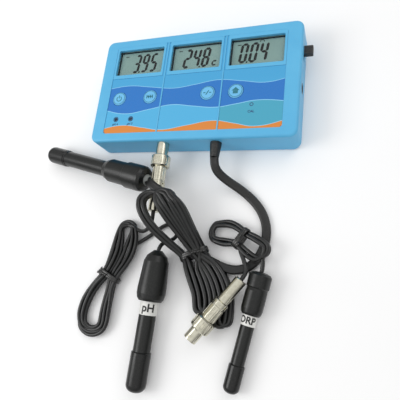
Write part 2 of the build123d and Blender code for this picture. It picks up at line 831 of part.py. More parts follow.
# each section: x, y, heading in degrees, width, low, high
ec_waist = ((10.8, -126.6, -65, 20.0, 1.6, 10.6), (12.3, -129.8, -65, 20.0, 1.6, 10.6))
ec_hank = [
    (-14.5, -88.0, -78, 18.0, 23.4, 29.5),
    (-12.5, -95.0, -72, 31.0, 23.0, 31.0),
    (-6.5, -106.5, -58, 33.0, 19.2, 27.5),
    (2.0, -117.0, -55, 28.0, 11.0, 20.0),
    *ec_waist,
    (23.0, -145.0, -75, 31.0, 0.1, 6.9),
    (28.0, -158.0, -86, 32.0, 0.1, 6.9),
    (28.5, -167.0, -90, 31.0, 0.1, 6.9),
    (36.5, -171.8, -90, 16.5, 0.1, 5.0),
    (37.5, -177.2, -90, 11.0, 0.3, 4.6),
]
ph_waist = ((-54.6, -148.0, -115, 17.5, 1.5, 9.5), (-56.1, -151.2, -115, 17.5, 1.5, 9.5))
ph_hank = [
    (-46.5, -107.0, -95, 13.0, 0.4, 7.0),
    (-47.0, -112.0, -93, 22.0, 0.1, 8.5),
    (-47.2, -121.0, -93, 26.5, 0.1, 8.8),
    (-48.5, -134.0, -100, 24.5, 0.1, 8.8),
    *ph_waist,
    (-62.5, -164.0, -100, 27.0, 0.1, 8.5),
    (-65.0, -178.0, -92, 31.0, 0.1, 8.0),
    (-64.5, -188.0, -90, 28.5, 0.1, 7.0),
    (-62.5, -194.5, -90, 17.0, 0.3, 6.0),
]
orp_waist = ((44.6, -114.6, -33, 15.0, 4.2, 11.6), (47.1, -116.2, -33, 15.0, 4.2, 11.6))
orp_hank = [
    (22.0, -110.5, -5, 9.0, 0.5, 6.5),
    (26.5, -111.0, -5, 17.0, 0.1, 8.0),
    (34.0, -111.3, -10, 20.0, 0.1, 8.6),
    (39.5, -112.6, -20, 18.5, 1.4, 10.0),
    *orp_waist,
    (53.5, -120.2, -33, 17.0, 6.0, 13.4),
    (60.0, -124.2, -33, 17.5, 6.2, 13.6),
    (65.0, -127.3, -33, 12.5, 6.4, 13.0),
]
save("ec_hank", make_hank(ec_hank))
save("ph_hank", make_hank(ph_hank))
save("orp_hank", make_hank(orp_hank))
save("cord_ties", *[make_tie(*waist) for waist in (ec_waist, ph_waist, orp_waist)])


def laid(*points):
    """Route points out on the table, moved with the bottom wall."""
    return [(x, y + lead_shift, z) for x, y, z in points]


def seat_point(frame, station):
    """A point on a probe's or plug's axis, as a tuple."""
    return tuple(frame.origin + frame.z_dir * station)


flat_low = flat_cord / 2 + floor_gap
round_low = round_cord / 2 + floor_gap
ec_case_route = [
    seat_point(gland_frame, gland_length - 1.5),
    seat_point(gland_frame, gland_length + 4.0),
    *laid(
        (24.4, -68.0, 13.4),
        (31.2, -73.0, 7.6),
        (42.0, -78.8, 2.4),
        (53.0, -88.0, flat_low),
        (60.0, -98.5, flat_low),
        (62.6, -110.8, flat_low),
        (60.2, -123.0, flat_low),
        (53.8, -133.0, flat_low),
        (44.0, -137.6, 2.2),
        (33.2, -136.4, 3.4),
        (23.0, -131.8, 5.2),
    ),
]
ec_probe_route = [
    seat_point(ec_frame, 2.8),
    seat_point(ec_frame, -0.8),
    *laid(
        (-24.6, -79.3, 23.9),
        (-20.4, -82.4, 25.9),
        (-15.0, -85.9, 26.3),
        (-8.8, -89.6, 26.8),
        (-2.6, -94.4, 27.0),
    ),
]
ph_plug_route = [
    seat_point(plug_frame, tail_end - cord_seat + 0.2),
    seat_point(plug_frame, tail_end + 4.0),
    *laid(
        (-21.6, -108.8, 15.2),
        (-26.4, -113.6, 11.0),
        (-33.2, -114.2, 7.0),
        (-40.0, -111.8, 4.8),
    ),
]
ph_probe_route = [
    *laid(
        (-40.0, -124.4, 2.8),
        (-33.2, -120.1, 1.8),
        (-25.0, -113.9, round_low),
        (-17.6, -107.5, round_low),
        (-10.8, -105.5, round_low),
        (-5.4, -109.2, 1.8),
        (-4.8, -115.8, 3.2),
        (-8.8, -120.6, 7.2),
    ),
    seat_point(ph_frame, -4.6),
    seat_point(ph_frame, 2.2),
]
orp_probe_route = [
    seat_point(orp_frame, 2.2),
    seat_point(orp_frame, -4.0),
    *laid((60.6, -127.8, 10.0)),
]
orp_plug_route = [
    seat_point(free_frame, tail_end - cord_seat + 0.2),
    seat_point(free_frame, tail_end + 3.4),
    *laid(
        (52.2, -136.8, 12.2),
        (49.6, -130.6, 11.2),
        (46.6, -125.0, 10.2),
        (45.0, -119.5, 9.2),
    ),
]
save("ec_cord_case", tube_along("ec_cord_case", ec_case_route, flat_cord))
save("ec_cord_probe", tube_along("ec_cord_probe", ec_probe_route, flat_cord))
save("ph_cord_plug", tube_along("ph_cord_plug", ph_plug_route, round_cord))
save("ph_cord_probe", tube_along("ph_cord_probe", ph_probe_route, round_cord))
save("orp_cord_probe", tube_along("orp_cord_probe", orp_probe_route, round_cord))
save("orp_cord_plug", tube_along("orp_cord_plug", orp_plug_route, round_cord))
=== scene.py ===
"""Looks of the water quality monitor and its three corded probes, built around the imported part.

Metres, in the part's own frame: the monitor lies on its back with +Y to its top edge and +Z out of
its display face. Sizes that read more easily in millimetres are given so, and MM turns them over.
"""

import json
import logging
import math
import random
from dataclasses import dataclass
from enum import Enum

import bmesh
import bpy
from mathutils import Matrix, Vector

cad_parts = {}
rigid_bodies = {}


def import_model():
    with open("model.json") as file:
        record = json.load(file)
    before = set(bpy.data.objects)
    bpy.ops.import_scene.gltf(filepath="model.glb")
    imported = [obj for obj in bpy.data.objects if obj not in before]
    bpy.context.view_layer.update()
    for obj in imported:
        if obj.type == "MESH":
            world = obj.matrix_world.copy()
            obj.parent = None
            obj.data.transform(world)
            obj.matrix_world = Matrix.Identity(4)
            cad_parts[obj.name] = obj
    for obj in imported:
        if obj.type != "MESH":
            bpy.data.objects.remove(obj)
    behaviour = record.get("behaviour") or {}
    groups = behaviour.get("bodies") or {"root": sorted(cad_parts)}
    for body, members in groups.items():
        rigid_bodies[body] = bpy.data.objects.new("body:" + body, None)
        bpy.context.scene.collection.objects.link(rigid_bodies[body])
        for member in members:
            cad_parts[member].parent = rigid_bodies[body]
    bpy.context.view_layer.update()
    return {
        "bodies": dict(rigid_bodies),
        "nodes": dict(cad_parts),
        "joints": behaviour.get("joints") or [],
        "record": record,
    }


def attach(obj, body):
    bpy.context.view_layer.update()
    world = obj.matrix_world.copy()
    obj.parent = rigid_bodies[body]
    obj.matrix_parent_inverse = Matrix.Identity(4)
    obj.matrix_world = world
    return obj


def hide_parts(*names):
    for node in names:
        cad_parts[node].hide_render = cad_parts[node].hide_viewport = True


log = logging.getLogger("water_monitor")
MM = 0.001
MONITOR = "monitor"

Point = tuple[float, float, float]
Flat = tuple[float, float]


# ---------------------------------------------------------------- small helpers
def linear(code: str) -> tuple[float, float, float, float]:
    """A linear colour with full alpha from a #rrggbb code.

    Args:
        code: the colour as it looks on a screen.

    Returns:
        Red, green, blue and alpha.
    """
    parts = [int(code[i : i + 2], 16) / 255 for i in (1, 3, 5)]
    red, green, blue = (c / 12.92 if c <= 0.04045 else ((c + 0.055) / 1.055) ** 2.4 for c in parts)
    return (red, green, blue, 1.0)


def metres(point: Point) -> Vector:
    """A point in metres from one in millimetres."""
    return Vector(point) * MM


def blended(low: float, high: float, share: float) -> float:
    """A value part of the way from low to high."""
    return low + (high - low) * share


@dataclass(frozen=True)
class Axle:
    """A straight line that a turned or wrapped piece is built around, in millimetres."""

    start: Point
    end: Point

    def along(self) -> Vector:
        """The unit direction from start to end."""
        return (Vector(self.end) - Vector(self.start)).normalized()

    def matrix(self, station: float, facing: Vector) -> Matrix:
        """A frame at a station, its z along the line and its x as near facing as it can be.

        Args:
            station: millimetres from the start.
            facing: the direction that x leans to.

        Returns:
            The frame, in metres.
        """
        way = self.along()
        out = (facing - way * facing.dot(way)).normalized()
        side = way.cross(out)
        place = (Vector(self.start) + way * station) * MM
        rows = Matrix((out, side, way)).transposed().to_4x4()
        rows.translation = place
        return rows


def piece_from(
    name: str, body: bmesh.types.BMesh, material: bpy.types.Material, smooth: bool = True
) -> bpy.types.Object:
    """An object from finished mesh data.

    Args:
        name: the piece's name.
        body: its geometry in metres, freed here.
        material: what it is made of.
        smooth: whether its faces are shaded smooth.

    Returns:
        The object, linked to the scene.
    """
    bmesh.ops.recalc_face_normals(body, faces=body.faces)
    mesh = bpy.data.meshes.new(name)
    body.to_mesh(mesh)
    body.free()
    mesh.materials.append(material)
    for face in mesh.polygons:
        face.use_smooth = smooth
    piece = bpy.data.objects.new(name, mesh)
    bpy.context.scene.collection.objects.link(piece)
    return piece


def fit(piece: bpy.types.Object, body: str, slot: str, *nodes: str) -> bpy.types.Object:
    """Hands a piece to its body, and hides the nodes that it stands for."""
    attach(piece, body)
    if nodes:
        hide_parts(*nodes)
    log.info("piece %s on %s", piece.name, body)
    return piece


# ---------------------------------------------------------------- shader nodes
class NodeDesk:
    """Places and joins the nodes of one material or node group."""

    def __init__(self, tree: bpy.types.NodeTree) -> None:
        """Works in the given tree."""
        self.tree = tree

    def add(self, kind: str, **settings: object) -> bpy.types.Node:
        """A new node with its settings."""
        node = self.tree.nodes.new(kind)
        for name, value in settings.items():
            setattr(node, name, value)
        return node

    def feed(self, socket: bpy.types.NodeSocket, value: object) -> None:
        """Links a socket to another, or sets its plain value."""
        if isinstance(value, bpy.types.NodeSocket):
            self.tree.links.new(value, socket)
        else:
            socket.default_value = value

    def maths(
        self, operation: str, first: object, second: object = 0.0, clamp: bool = False
    ) -> bpy.types.NodeSocket:
        """The result of one arithmetic node."""
        node = self.add("ShaderNodeMath", operation=operation, use_clamp=clamp)
        self.feed(node.inputs[0], first)
        self.feed(node.inputs[1], second)
        return node.outputs[0]

    def colours(self, mask: object, low: object, high: object, way: str = "MIX") -> bpy.types.NodeSocket:
        """A colour that goes from low to high where the mask goes from 0 to 1."""
        node = self.add("ShaderNodeMix", data_type="RGBA", blend_type=way)
        self.feed(node.inputs["Factor"], mask)
        self.feed(node.inputs["A"], low)
        self.feed(node.inputs["B"], high)
        return node.outputs["Result"]

    def noise(self, scale: object, detail: float, rough: float = 0.5) -> bpy.types.NodeSocket:
        """Noise over the object's own coordinates, from 0 to 1."""
        node = self.add("ShaderNodeTexNoise")
        node.inputs["Detail"].default_value = detail
        node.inputs["Roughness"].default_value = rough
        self.feed(node.inputs["Scale"], scale)
        self.feed(node.inputs["Vector"], self.add("ShaderNodeTexCoord").outputs["Object"])
        return node.outputs["Fac"]

    def between(self, value: object, low: float, high: float) -> bpy.types.NodeSocket:
        """0 below low, 1 above high, and straight between."""
        node = self.add("ShaderNodeMapRange")
        self.feed(node.inputs["Value"], value)
        node.inputs["From Min"].default_value = low
        node.inputs["From Max"].default_value = high
        return node.outputs["Result"]


class Effect(Enum):
    """The shared effects, each one node group."""

    EDGE_WEAR = "edge_wear"
    MOULDED_GRAIN = "moulded_grain"
    SETTLED_DUST = "settled_dust"


class EffectShop:
    """Builds each shared effect once and places it in materials."""

    def __init__(self) -> None:
        """Starts with the three groups built."""
        self.groups = {
            Effect.EDGE_WEAR: self.edge_wear(),
            Effect.MOULDED_GRAIN: self.moulded_grain(),
            Effect.SETTLED_DUST: self.settled_dust(),
        }

    def fresh(
        self, effect: Effect, inputs: dict[str, float], outputs: tuple[str, ...]
    ) -> bpy.types.NodeTree:
        """An empty group with its sockets.

        Args:
            effect: which effect it is for.
            inputs: names and starting values of the numbers it takes.
            outputs: names of the numbers it gives.

        Returns:
            The group.
        """
        group = bpy.data.node_groups.new(effect.value, "ShaderNodeTree")
        for name, value in inputs.items():
            socket = group.interface.new_socket(name=name, in_out="INPUT", socket_type="NodeSocketFloat")
            socket.default_value = value
        for name in outputs:
            group.interface.new_socket(name=name, in_out="OUTPUT", socket_type="NodeSocketFloat")
        return group

    def edge_wear(self) -> bpy.types.NodeTree:
        """A mask of the rubbed edges: where a rounded normal leaves the true one, broken by noise."""
        group = self.fresh(Effect.EDGE_WEAR, {"Reach": 0.0004, "Amount": 1.0}, ("Mask",))
        desk = NodeDesk(group)
        given = desk.add("NodeGroupInput").outputs
        result = desk.add("NodeGroupOutput").inputs
        rounded = desk.add("ShaderNodeBevel", samples=4)
        desk.feed(rounded.inputs["Radius"], given["Reach"])
        match = desk.add("ShaderNodeVectorMath", operation="DOT_PRODUCT")
        desk.feed(match.inputs[0], rounded.outputs[0])
        desk.feed(match.inputs[1], desk.add("ShaderNodeNewGeometry").outputs["Normal"])
        corner = desk.between(match.outputs["Value"], 0.995, 0.80)
        broken = desk.between(desk.noise(420.0, 4.0), 0.42, 0.62)
        rubbed = desk.maths("MULTIPLY", corner, broken)
        desk.feed(result["Mask"], desk.maths("MULTIPLY", rubbed, given["Amount"]))
        return group

    def moulded_grain(self) -> bpy.types.NodeTree:
        """A fine grain height and broad patches, for plastic, rubber and paint."""
        inputs = {"Scale": 2400.0, "Patch Scale": 60.0}
        group = self.fresh(Effect.MOULDED_GRAIN, inputs, ("Height", "Patches"))
        desk = NodeDesk(group)
        given = desk.add("NodeGroupInput").outputs
        result = desk.add("NodeGroupOutput").inputs
        desk.feed(result["Height"], desk.noise(given["Scale"], 2.0, 0.6))
        desk.feed(result["Patches"], desk.between(desk.noise(given["Patch Scale"], 3.0), 0.3, 0.7))
        return group

    def settled_dust(self) -> bpy.types.NodeTree:
        """A faint mask of dust, on what faces up."""
        group = self.fresh(Effect.SETTLED_DUST, {"Amount": 0.1}, ("Mask",))
        desk = NodeDesk(group)
        given = desk.add("NodeGroupInput").outputs
        result = desk.add("NodeGroupOutput").inputs
        parts = desk.add("ShaderNodeSeparateXYZ")
        desk.feed(parts.inputs[0], desk.add("ShaderNodeNewGeometry").outputs["Normal"])
        upward = desk.between(parts.outputs["Z"], 0.2, 1.0)
        specks = desk.between(desk.noise(900.0, 6.0, 0.7), 0.45, 0.75)
        settled = desk.maths("MULTIPLY", upward, specks)
        desk.feed(result["Mask"], desk.maths("MULTIPLY", settled, given["Amount"]))
        return group

    def place(self, desk: NodeDesk, effect: Effect, **values: float) -> bpy.types.bpy_prop_collection:
        """Puts an effect in a material with its own values, and gives its outputs."""
        node = desk.add("ShaderNodeGroup")
        node.node_tree = self.groups[effect]
        for name, value in values.items():
            node.inputs[name.replace("_", " ")].default_value = value
        return node.outputs


@dataclass(frozen=True)
class Finish:
    """One finish: a base colour with patches, grain, dust and worn edges."""

    name: str
    colour: str
    patch_colour: str
    roughness: float
    metallic: float = 0.0
    coat: float = 0.0
    specular: float = 0.5
    grain: float = 0.02
    grain_scale: float = 2400.0
    patch_scale: float = 60.0
    wear: float = 0.35
    wear_colour: str = "#9a9a98"
    dust: float = 0.10
    alpha: float = 1.0

    def surface(self, desk: NodeDesk, shop: EffectShop) -> bpy.types.NodeSocket:
        """The base colour before wear and dust.

        Args:
            desk: where the material's nodes go.
            shop: the shared effects.

        Returns:
            The colour socket.
        """
        patches = shop.place(desk, Effect.MOULDED_GRAIN, Patch_Scale=self.patch_scale)["Patches"]
        return desk.colours(patches, linear(self.colour), linear(self.patch_colour))

    def build(self, shop: EffectShop) -> bpy.types.Material:
        """The material, with its shader and effects joined.

        Args:
            shop: the shared effects.

        Returns:
            The material.
        """
        material = bpy.data.materials.new(f"{self.name}_finish")
        material.use_nodes = True
        desk = NodeDesk(material.node_tree)
        shader = material.node_tree.nodes["Principled BSDF"]
        grain = shop.place(desk, Effect.MOULDED_GRAIN, Scale=self.grain_scale, Patch_Scale=self.patch_scale)
        worn = shop.place(desk, Effect.EDGE_WEAR, Amount=self.wear)["Mask"]
        dusty = shop.place(desk, Effect.SETTLED_DUST, Amount=self.dust)["Mask"]
        colour = desk.colours(worn, self.surface(desk, shop), linear(self.wear_colour))
        colour = desk.colours(dusty, colour, linear("#b9b6ae"))
        desk.feed(shader.inputs["Base Color"], colour)
        rough = desk.maths("MULTIPLY_ADD", grain["Patches"], 0.12)
        rough.node.inputs[2].default_value = self.roughness - 0.06
        dull = desk.maths("MULTIPLY", dusty, 0.5)
        desk.feed(shader.inputs["Roughness"], desk.maths("ADD", rough, dull, True))
        shader.inputs["Metallic"].default_value = self.metallic
        shader.inputs["Coat Weight"].default_value = self.coat
        shader.inputs["Coat Roughness"].default_value = 0.08
        shader.inputs["Specular IOR Level"].default_value = self.specular
        shader.inputs["Alpha"].default_value = self.alpha
        bump = desk.add("ShaderNodeBump")
        bump.inputs["Strength"].default_value = 0.6
        bump.inputs["Distance"].default_value = self.grain * MM
        desk.feed(bump.inputs["Height"], grain["Height"])
        desk.feed(shader.inputs["Normal"], bump.outputs[0])
        return material


@dataclass(frozen=True)
class Wave:
    """An edge of the printed wave: its drop below the label's top at shares of the label's width.

    Both are hundredths of the label's width.
    """

    across: tuple[float, ...]
    drop: tuple[float, ...]


@dataclass(frozen=True)
class PrintedFinish(Finish):
    """The face labels: two blues parted by a wavy band, with an orange wave along the bottom."""

    label_width: float = 0.143
    label_top: float = 0.0395
    band_colour: str = "#2f76c2"
    low_colour: str = "#54afdc"
    teal_colour: str = "#4ba4bf"
    orange_colour: str = "#d8863e"
    line_colour: str = "#8cccec"
    teal_start: float = 67.5
    band_top: Wave = Wave(
        (0, 12, 26, 40, 52, 65, 78, 90, 100),
        (27, 26, 27.8, 29.5, 28.2, 26.5, 28.2, 30, 28.5),
    )
    band_low: Wave = Wave(
        (0, 13, 26, 40, 52, 65, 76, 86, 100),
        (41, 43.5, 41.6, 39.5, 41, 42.5, 41.2, 39.8, 41),
    )
    orange_top: Wave = Wave(
        (0, 12, 24, 35, 50, 65, 76, 86, 100),
        (52, 50.5, 52.3, 54, 52, 50, 52, 54, 51.5),
    )

    def edge(self, desk: NodeDesk, wave: Wave, across: bpy.types.NodeSocket) -> bpy.types.NodeSocket:
        """The height of a wave's edge at each place across the label."""
        node = desk.add("ShaderNodeFloatCurve")
        curve = node.mapping.curves[0]
        shares = [(a / 100, d / 100) for a, d in zip(wave.across, wave.drop)]
        curve.points[0].location, curve.points[1].location = shares[0], shares[-1]
        for place in shares[1:-1]:
            curve.points.new(*place)
        node.mapping.update()
        desk.feed(node.inputs["Value"], across)
        return node.outputs[0]

    def surface(self, desk: NodeDesk, shop: EffectShop) -> bpy.types.NodeSocket:
        """The printed pattern's colour.

        Args:
            desk: where the material's nodes go.
            shop: the shared effects.

        Returns:
            The colour socket.
        """
        parts = desk.add("ShaderNodeSeparateXYZ")
        desk.feed(parts.inputs[0], desk.add("ShaderNodeTexCoord").outputs["Object"])
        across = desk.maths("ADD", desk.maths("DIVIDE", parts.outputs["X"], self.label_width), 0.5)
        below_top = desk.maths("SUBTRACT", self.label_top, parts.outputs["Y"])
        drop = desk.maths("DIVIDE", below_top, self.label_width)
        edges = [self.edge(desk, wave, across) for wave in (self.band_top, self.band_low, self.orange_top)]
        below = [desk.maths("GREATER_THAN", drop, edge) for edge in edges]
        lines = [desk.maths("COMPARE", drop, edge) for edge in edges]
        for line, width in zip(lines, (0.0015, 0.0019, 0.0014)):
            line.node.inputs[2].default_value = width
        right_part = desk.maths("GREATER_THAN", across, self.teal_start / 100)
        low = desk.colours(right_part, linear(self.low_colour), linear(self.teal_colour))
        fade = desk.between(drop, 0.55, 0.26)
        top = desk.colours(fade, linear(self.colour), linear(self.patch_colour))
        colour = desk.colours(below[0], top, linear(self.band_colour))
        colour = desk.colours(below[1], colour, low)
        colour = desk.colours(below[2], colour, linear(self.orange_colour))
        for line in lines:
            colour = desk.colours(line, colour, linear(self.line_colour))
        return colour


class Shelf:
    """Every finish of the instrument, built when first asked for."""

    finishes = {
        "case_blue": Finish(
            "case_blue", "#55aedb", "#5cb4df",
            0.40, specular=0.4, grain=0.015, wear_colour="#8ecbe9", dust=0.04,
        ),
        "overlay_print": PrintedFinish(
            "overlay_print", "#55aedc", "#49a3d4", 0.36, grain=0.008, wear=0.1, dust=0.03, specular=0.25
        ),
        "key_blue": Finish(
            "key_blue", "#6cbce8", "#62b4e4",
            0.38, grain=0.01, wear_colour="#a8d4ee", dust=0.05,
        ),
        "icon_teal": Finish("icon_teal", "#1c6f7c", "#22788a", 0.45, grain=0.005, wear=0.1, dust=0.03),
        "mark_navy": Finish("mark_navy", "#1f3f6a", "#244874", 0.45, grain=0.005, wear=0.1, dust=0.03),
        "window_clear": Finish(
            "window_clear", "#20282c", "#242c30", 0.07, grain=0.0, wear=0.0, dust=0.0, alpha=0.10, specular=0.5
        ),
        "lcd_cell": Finish(
            "lcd_cell", "#8fb1ab", "#97b8b2",
            0.36, grain=0.003, wear=0.0, dust=0.0, patch_scale=35,
        ),
        "lcd_ink": Finish("lcd_ink", "#07090a", "#0b0d0e", 0.40, grain=0.002, wear=0.0, dust=0.0),
        # painted shade: the dark colour of the frames that stand in for the shadow inside each display window
        "window_shade": Finish("window_shade", "#16242e", "#1a2a36", 0.5, grain=0.01, wear=0.0, dust=0.0),
        "zebra_rubber": Finish("zebra_rubber", "#c9a2a0", "#b58e8c", 0.6, wear=0.0),
        "board_green": Finish("board_green", "#1f5a36", "#2a6a42", 0.35, coat=0.4, wear_colour="#c8b878"),
        "chip_black": Finish("chip_black", "#17181a", "#202124", 0.5),
        "screw_steel": Finish("screw_steel", "#8e9092", "#a2a4a6", 0.32, metallic=1.0, grain=0.004),
        "trimmer_brass": Finish(
            "trimmer_brass", "#1a2a44", "#233450",
            0.35, grain=0.004, wear_colour="#c09a50",
        ),
        "switch_black": Finish("switch_black", "#121314", "#1a1b1c", 0.4),
        "plug_nickel": Finish(
            "plug_nickel",
            "#d6d3c2",
            "#c2bfae",
            0.17,
            metallic=1.0,
            grain=0.004,
            grain_scale=1400,
            patch_scale=260,
            wear=0.5,
            wear_colour="#d9d6c6",
            dust=0.05,
        ),
        "insulator_white": Finish("insulator_white", "#e8e6de", "#dedbd0", 0.4),
        "pin_gold": Finish("pin_gold", "#c9a04a", "#b98f3c", 0.25, metallic=1.0, grain=0.002),
        "gland_black": Finish("gland_black", "#121313", "#1b1c1c", 0.5, grain=0.03, wear=0.2),
        "probe_black": Finish(
            "probe_black", "#0e100f", "#131514", 0.32, specular=0.38, grain=0.010,
            patch_scale=45, wear=0.3, wear_colour="#4a4c4b", dust=0.03,
        ),
        "cap_black": Finish(
            "cap_black", "#0d0e0e", "#111212",
            0.28, specular=0.38, grain=0.008, wear=0.25, wear_colour="#454746", dust=0.03,
        ),
        "seal_black": Finish(
            "seal_black", "#0c0c0c", "#141414",
            0.22, grain=0.01, wear=0.0, dust=0.04, coat=0.3,
        ),
        "boot_grey": Finish("boot_grey", "#6d716f", "#7b7f7c", 0.45, grain=0.02),
        "band_white": Finish("band_white", "#dcdcd8", "#e6e6e2", 0.45, grain=0.01, wear_colour="#b8b8b2"),
        "band_ink": Finish("band_ink", "#121212", "#1c1c1c", 0.5, grain=0.004, wear=0.0, dust=0.02),
        "electrode_grey": Finish("electrode_grey", "#5b5d60", "#6a6c70", 0.4, metallic=0.6),
        "sensor_glass": Finish(
            "sensor_glass", "#cfdad8", "#dfe8e6",
            0.08, grain=0.0, wear=0.0, alpha=0.45,
        ),
        "cord_black": Finish(
            "cord_black",
            "#0c0d0d",
            "#131414",
            0.32,
            grain=0.008,
            grain_scale=1800,
            patch_scale=90,
            wear=0.0,
            dust=0.03,
        ),
        "tie_black": Finish("tie_black", "#0d0d0d", "#161616", 0.25, grain=0.01, wear=0.0, coat=0.2),
    }

    def __init__(self) -> None:
        """Starts with the shared effects and no material."""
        self.shop = EffectShop()
        self.made: dict[str, bpy.types.Material] = {}

    def get(self, name: str) -> bpy.types.Material:
        """The material of a named finish."""
        if name not in self.made:
            self.made[name] = self.finishes[name].build(self.shop)
        return self.made[name]


# ---------------------------------------------------------------- room
@dataclass(frozen=True)
class Room:
    """The pale table, the soft studio light and the camera."""

    eye: Point = (0.1175, -0.1665, 0.2889)
    right: Point = (0.940, 0.114, -0.322)
    up: Point = (-0.022, 0.961, 0.276)
    lens: float = 37.54
    table_half: float = 2.5
    table_level: float = -0.0002
    glow_top: float = 0.95
    glow_side: float = 0.30

    def build(self) -> None:
        """Adds the camera, lights, world and table."""
        self.camera()
        self.world()
        self.lamp("key_light", (-0.62, -0.22, 0.62), 0.45, 2.6)
        self.lamp("fill_light", (0.55, 0.50, 0.65), 0.60, 1.3)
        self.table()
        bpy.context.scene.view_settings.view_transform = "Standard"

    def camera(self) -> None:
        """The camera, from its eye and its right and up directions."""
        data = bpy.data.cameras.new("studio_camera")
        data.lens = self.lens
        data.clip_start = 0.01
        camera = bpy.data.objects.new("studio_camera", data)
        across = Vector(self.right).normalized()
        back = across.cross(Vector(self.up)).normalized()
        rows = Matrix((across, back.cross(across), back)).transposed().to_4x4()
        rows.translation = Vector(self.eye)
        camera.matrix_world = rows
        bpy.context.scene.collection.objects.link(camera)
        bpy.context.scene.camera = camera

    def world(self) -> None:
        """A white surround, brightest overhead."""
        world = bpy.data.worlds.new("studio_surround")
        world.use_nodes = True
        desk = NodeDesk(world.node_tree)
        background = world.node_tree.nodes["Background"]
        parts = desk.add("ShaderNodeSeparateXYZ")
        desk.feed(parts.inputs[0], desk.add("ShaderNodeTexCoord").outputs["Generated"])
        overhead = desk.between(parts.outputs["Z"], 0.1, 0.8)
        side, top = (self.glow_side,) * 3 + (1.0,), (self.glow_top,) * 3 + (1.0,)
        desk.feed(background.inputs["Color"], desk.colours(overhead, side, top))
        bpy.context.scene.world = world

    def lamp(self, name: str, place: Point, size: float, power: float) -> None:
        """A square soft light that faces the object.

        Args:
            name: the light's name.
            place: where it hangs.
            size: its side.
            power: its strength in watts.
        """
        data = bpy.data.lights.new(name, "AREA")
        data.size = size
        data.energy = power
        lamp = bpy.data.objects.new(name, data)
        lamp.location = place
        aim = Vector((0.0, -0.09, 0.0)) - Vector(place)
        lamp.rotation_euler = aim.to_track_quat("-Z", "Y").to_euler()
        bpy.context.scene.collection.objects.link(lamp)

    def table(self) -> None:
        """The pale table top, just under the object."""
        body = bmesh.new()
        half = self.table_half
        places = ((-half, -half), (half, -half), (half, half), (-half, half))
        corners = [body.verts.new((x, y, self.table_level)) for x, y in places]
        body.faces.new(corners)
        material = bpy.data.materials.new("table_white")
        material.use_nodes = True
        desk = NodeDesk(material.node_tree)
        shader = material.node_tree.nodes["Principled BSDF"]
        cloud = desk.between(desk.noise(6.0, 2.0), 0.3, 0.7)
        tone = desk.colours(cloud, linear("#f8f8f8"), linear("#fbfbfb"))
        desk.feed(shader.inputs["Base Color"], tone)
        shader.inputs["Roughness"].default_value = 0.9
        shader.inputs["Specular IOR Level"].default_value = 0.1
        piece_from("table_top", body, material, smooth=False)


# ---------------------------------------------------------------- printed and thin pieces
class ThinPrint:
    """Collects flat outlines in millimetres and raises them into one thin piece."""

    def __init__(self) -> None:
        """Starts empty."""
        self.outlines: list[list[Flat]] = []

    def outline(self, points: list[Flat]) -> None:
        """Adds a closed outline."""
        self.outlines.append(points)

    def stroke(self, start: Flat, end: Flat, width: float) -> None:
        """Adds a straight bar between two points.

        Args:
            start: one end.
            end: the other end.
            width: the bar's width.
        """
        way = Vector((end[0] - start[0], end[1] - start[1])).normalized() * width / 2
        side = (-way.y, way.x)
        self.outline(
            [
                (start[0] + side[0], start[1] + side[1]),
                (start[0] - side[0], start[1] - side[1]),
                (end[0] - side[0], end[1] - side[1]),
                (end[0] + side[0], end[1] + side[1]),
            ]
        )

    def arc(self, centre: Flat, radius: float, width: float, first: float, last: float) -> None:
        """Adds part of a ring between two angles in degrees.

        Args:
            centre: the ring's centre.
            radius: its middle radius.
            width: its width.
            first: where it starts.
            last: where it ends.
        """
        steps = max(4, int(abs(last - first) / 12))
        angles = [math.radians(blended(first, last, i / steps)) for i in range(steps + 1)]
        for low, high in zip(angles, angles[1:]):
            inner, outer = radius - width / 2, radius + width / 2
            ring = [(inner, low), (outer, low), (outer, high), (inner, high)]
            self.outline([(centre[0] + r * math.cos(a), centre[1] + r * math.sin(a)) for r, a in ring])

    def raised(self, name: str, low: float, high: float, material: bpy.types.Material) -> bpy.types.Object:
        """The piece, from one level to another.

        Args:
            name: its name.
            low: its lower level in millimetres.
            high: its upper level in millimetres.
            material: its finish.

        Returns:
            The object.
        """
        body = bmesh.new()
        for points in self.outlines:
            foot = [body.verts.new(metres((x, y, low))) for x, y in points]
            head = [body.verts.new(metres((x, y, high))) for x, y in points]
            body.faces.new(foot)
            body.faces.new(head)
            for i in range(len(points)):
                j = (i + 1) % len(points)
                body.faces.new((foot[i], foot[j], head[j], head[i]))
        return piece_from(name, body, material, smooth=False)


def lettering(words: str, size: float, thickness: float) -> bmesh.types.BMesh:
    """Words as a mesh in metres about their own centre, along x with their tops to +y.

    Args:
        words: what it reads.
        size: the height of the type, in millimetres.
        thickness: how far it stands up, in millimetres.

    Returns:
        The mesh, which the caller frees.
    """
    type_line = bpy.data.curves.new("type_line", "FONT")
    type_line.body = words
    type_line.size = size * MM
    type_line.extrude = thickness / 2 * MM
    type_line.offset = size * 0.03 * MM
    type_line.align_x = "CENTER"
    type_line.align_y = "CENTER"
    holder = bpy.data.objects.new("type_line", type_line)
    mesh = bpy.data.meshes.new_from_object(holder)
    body = bmesh.new()
    body.from_mesh(mesh)
    bpy.data.objects.remove(holder)
    bpy.data.meshes.remove(mesh)
    return body


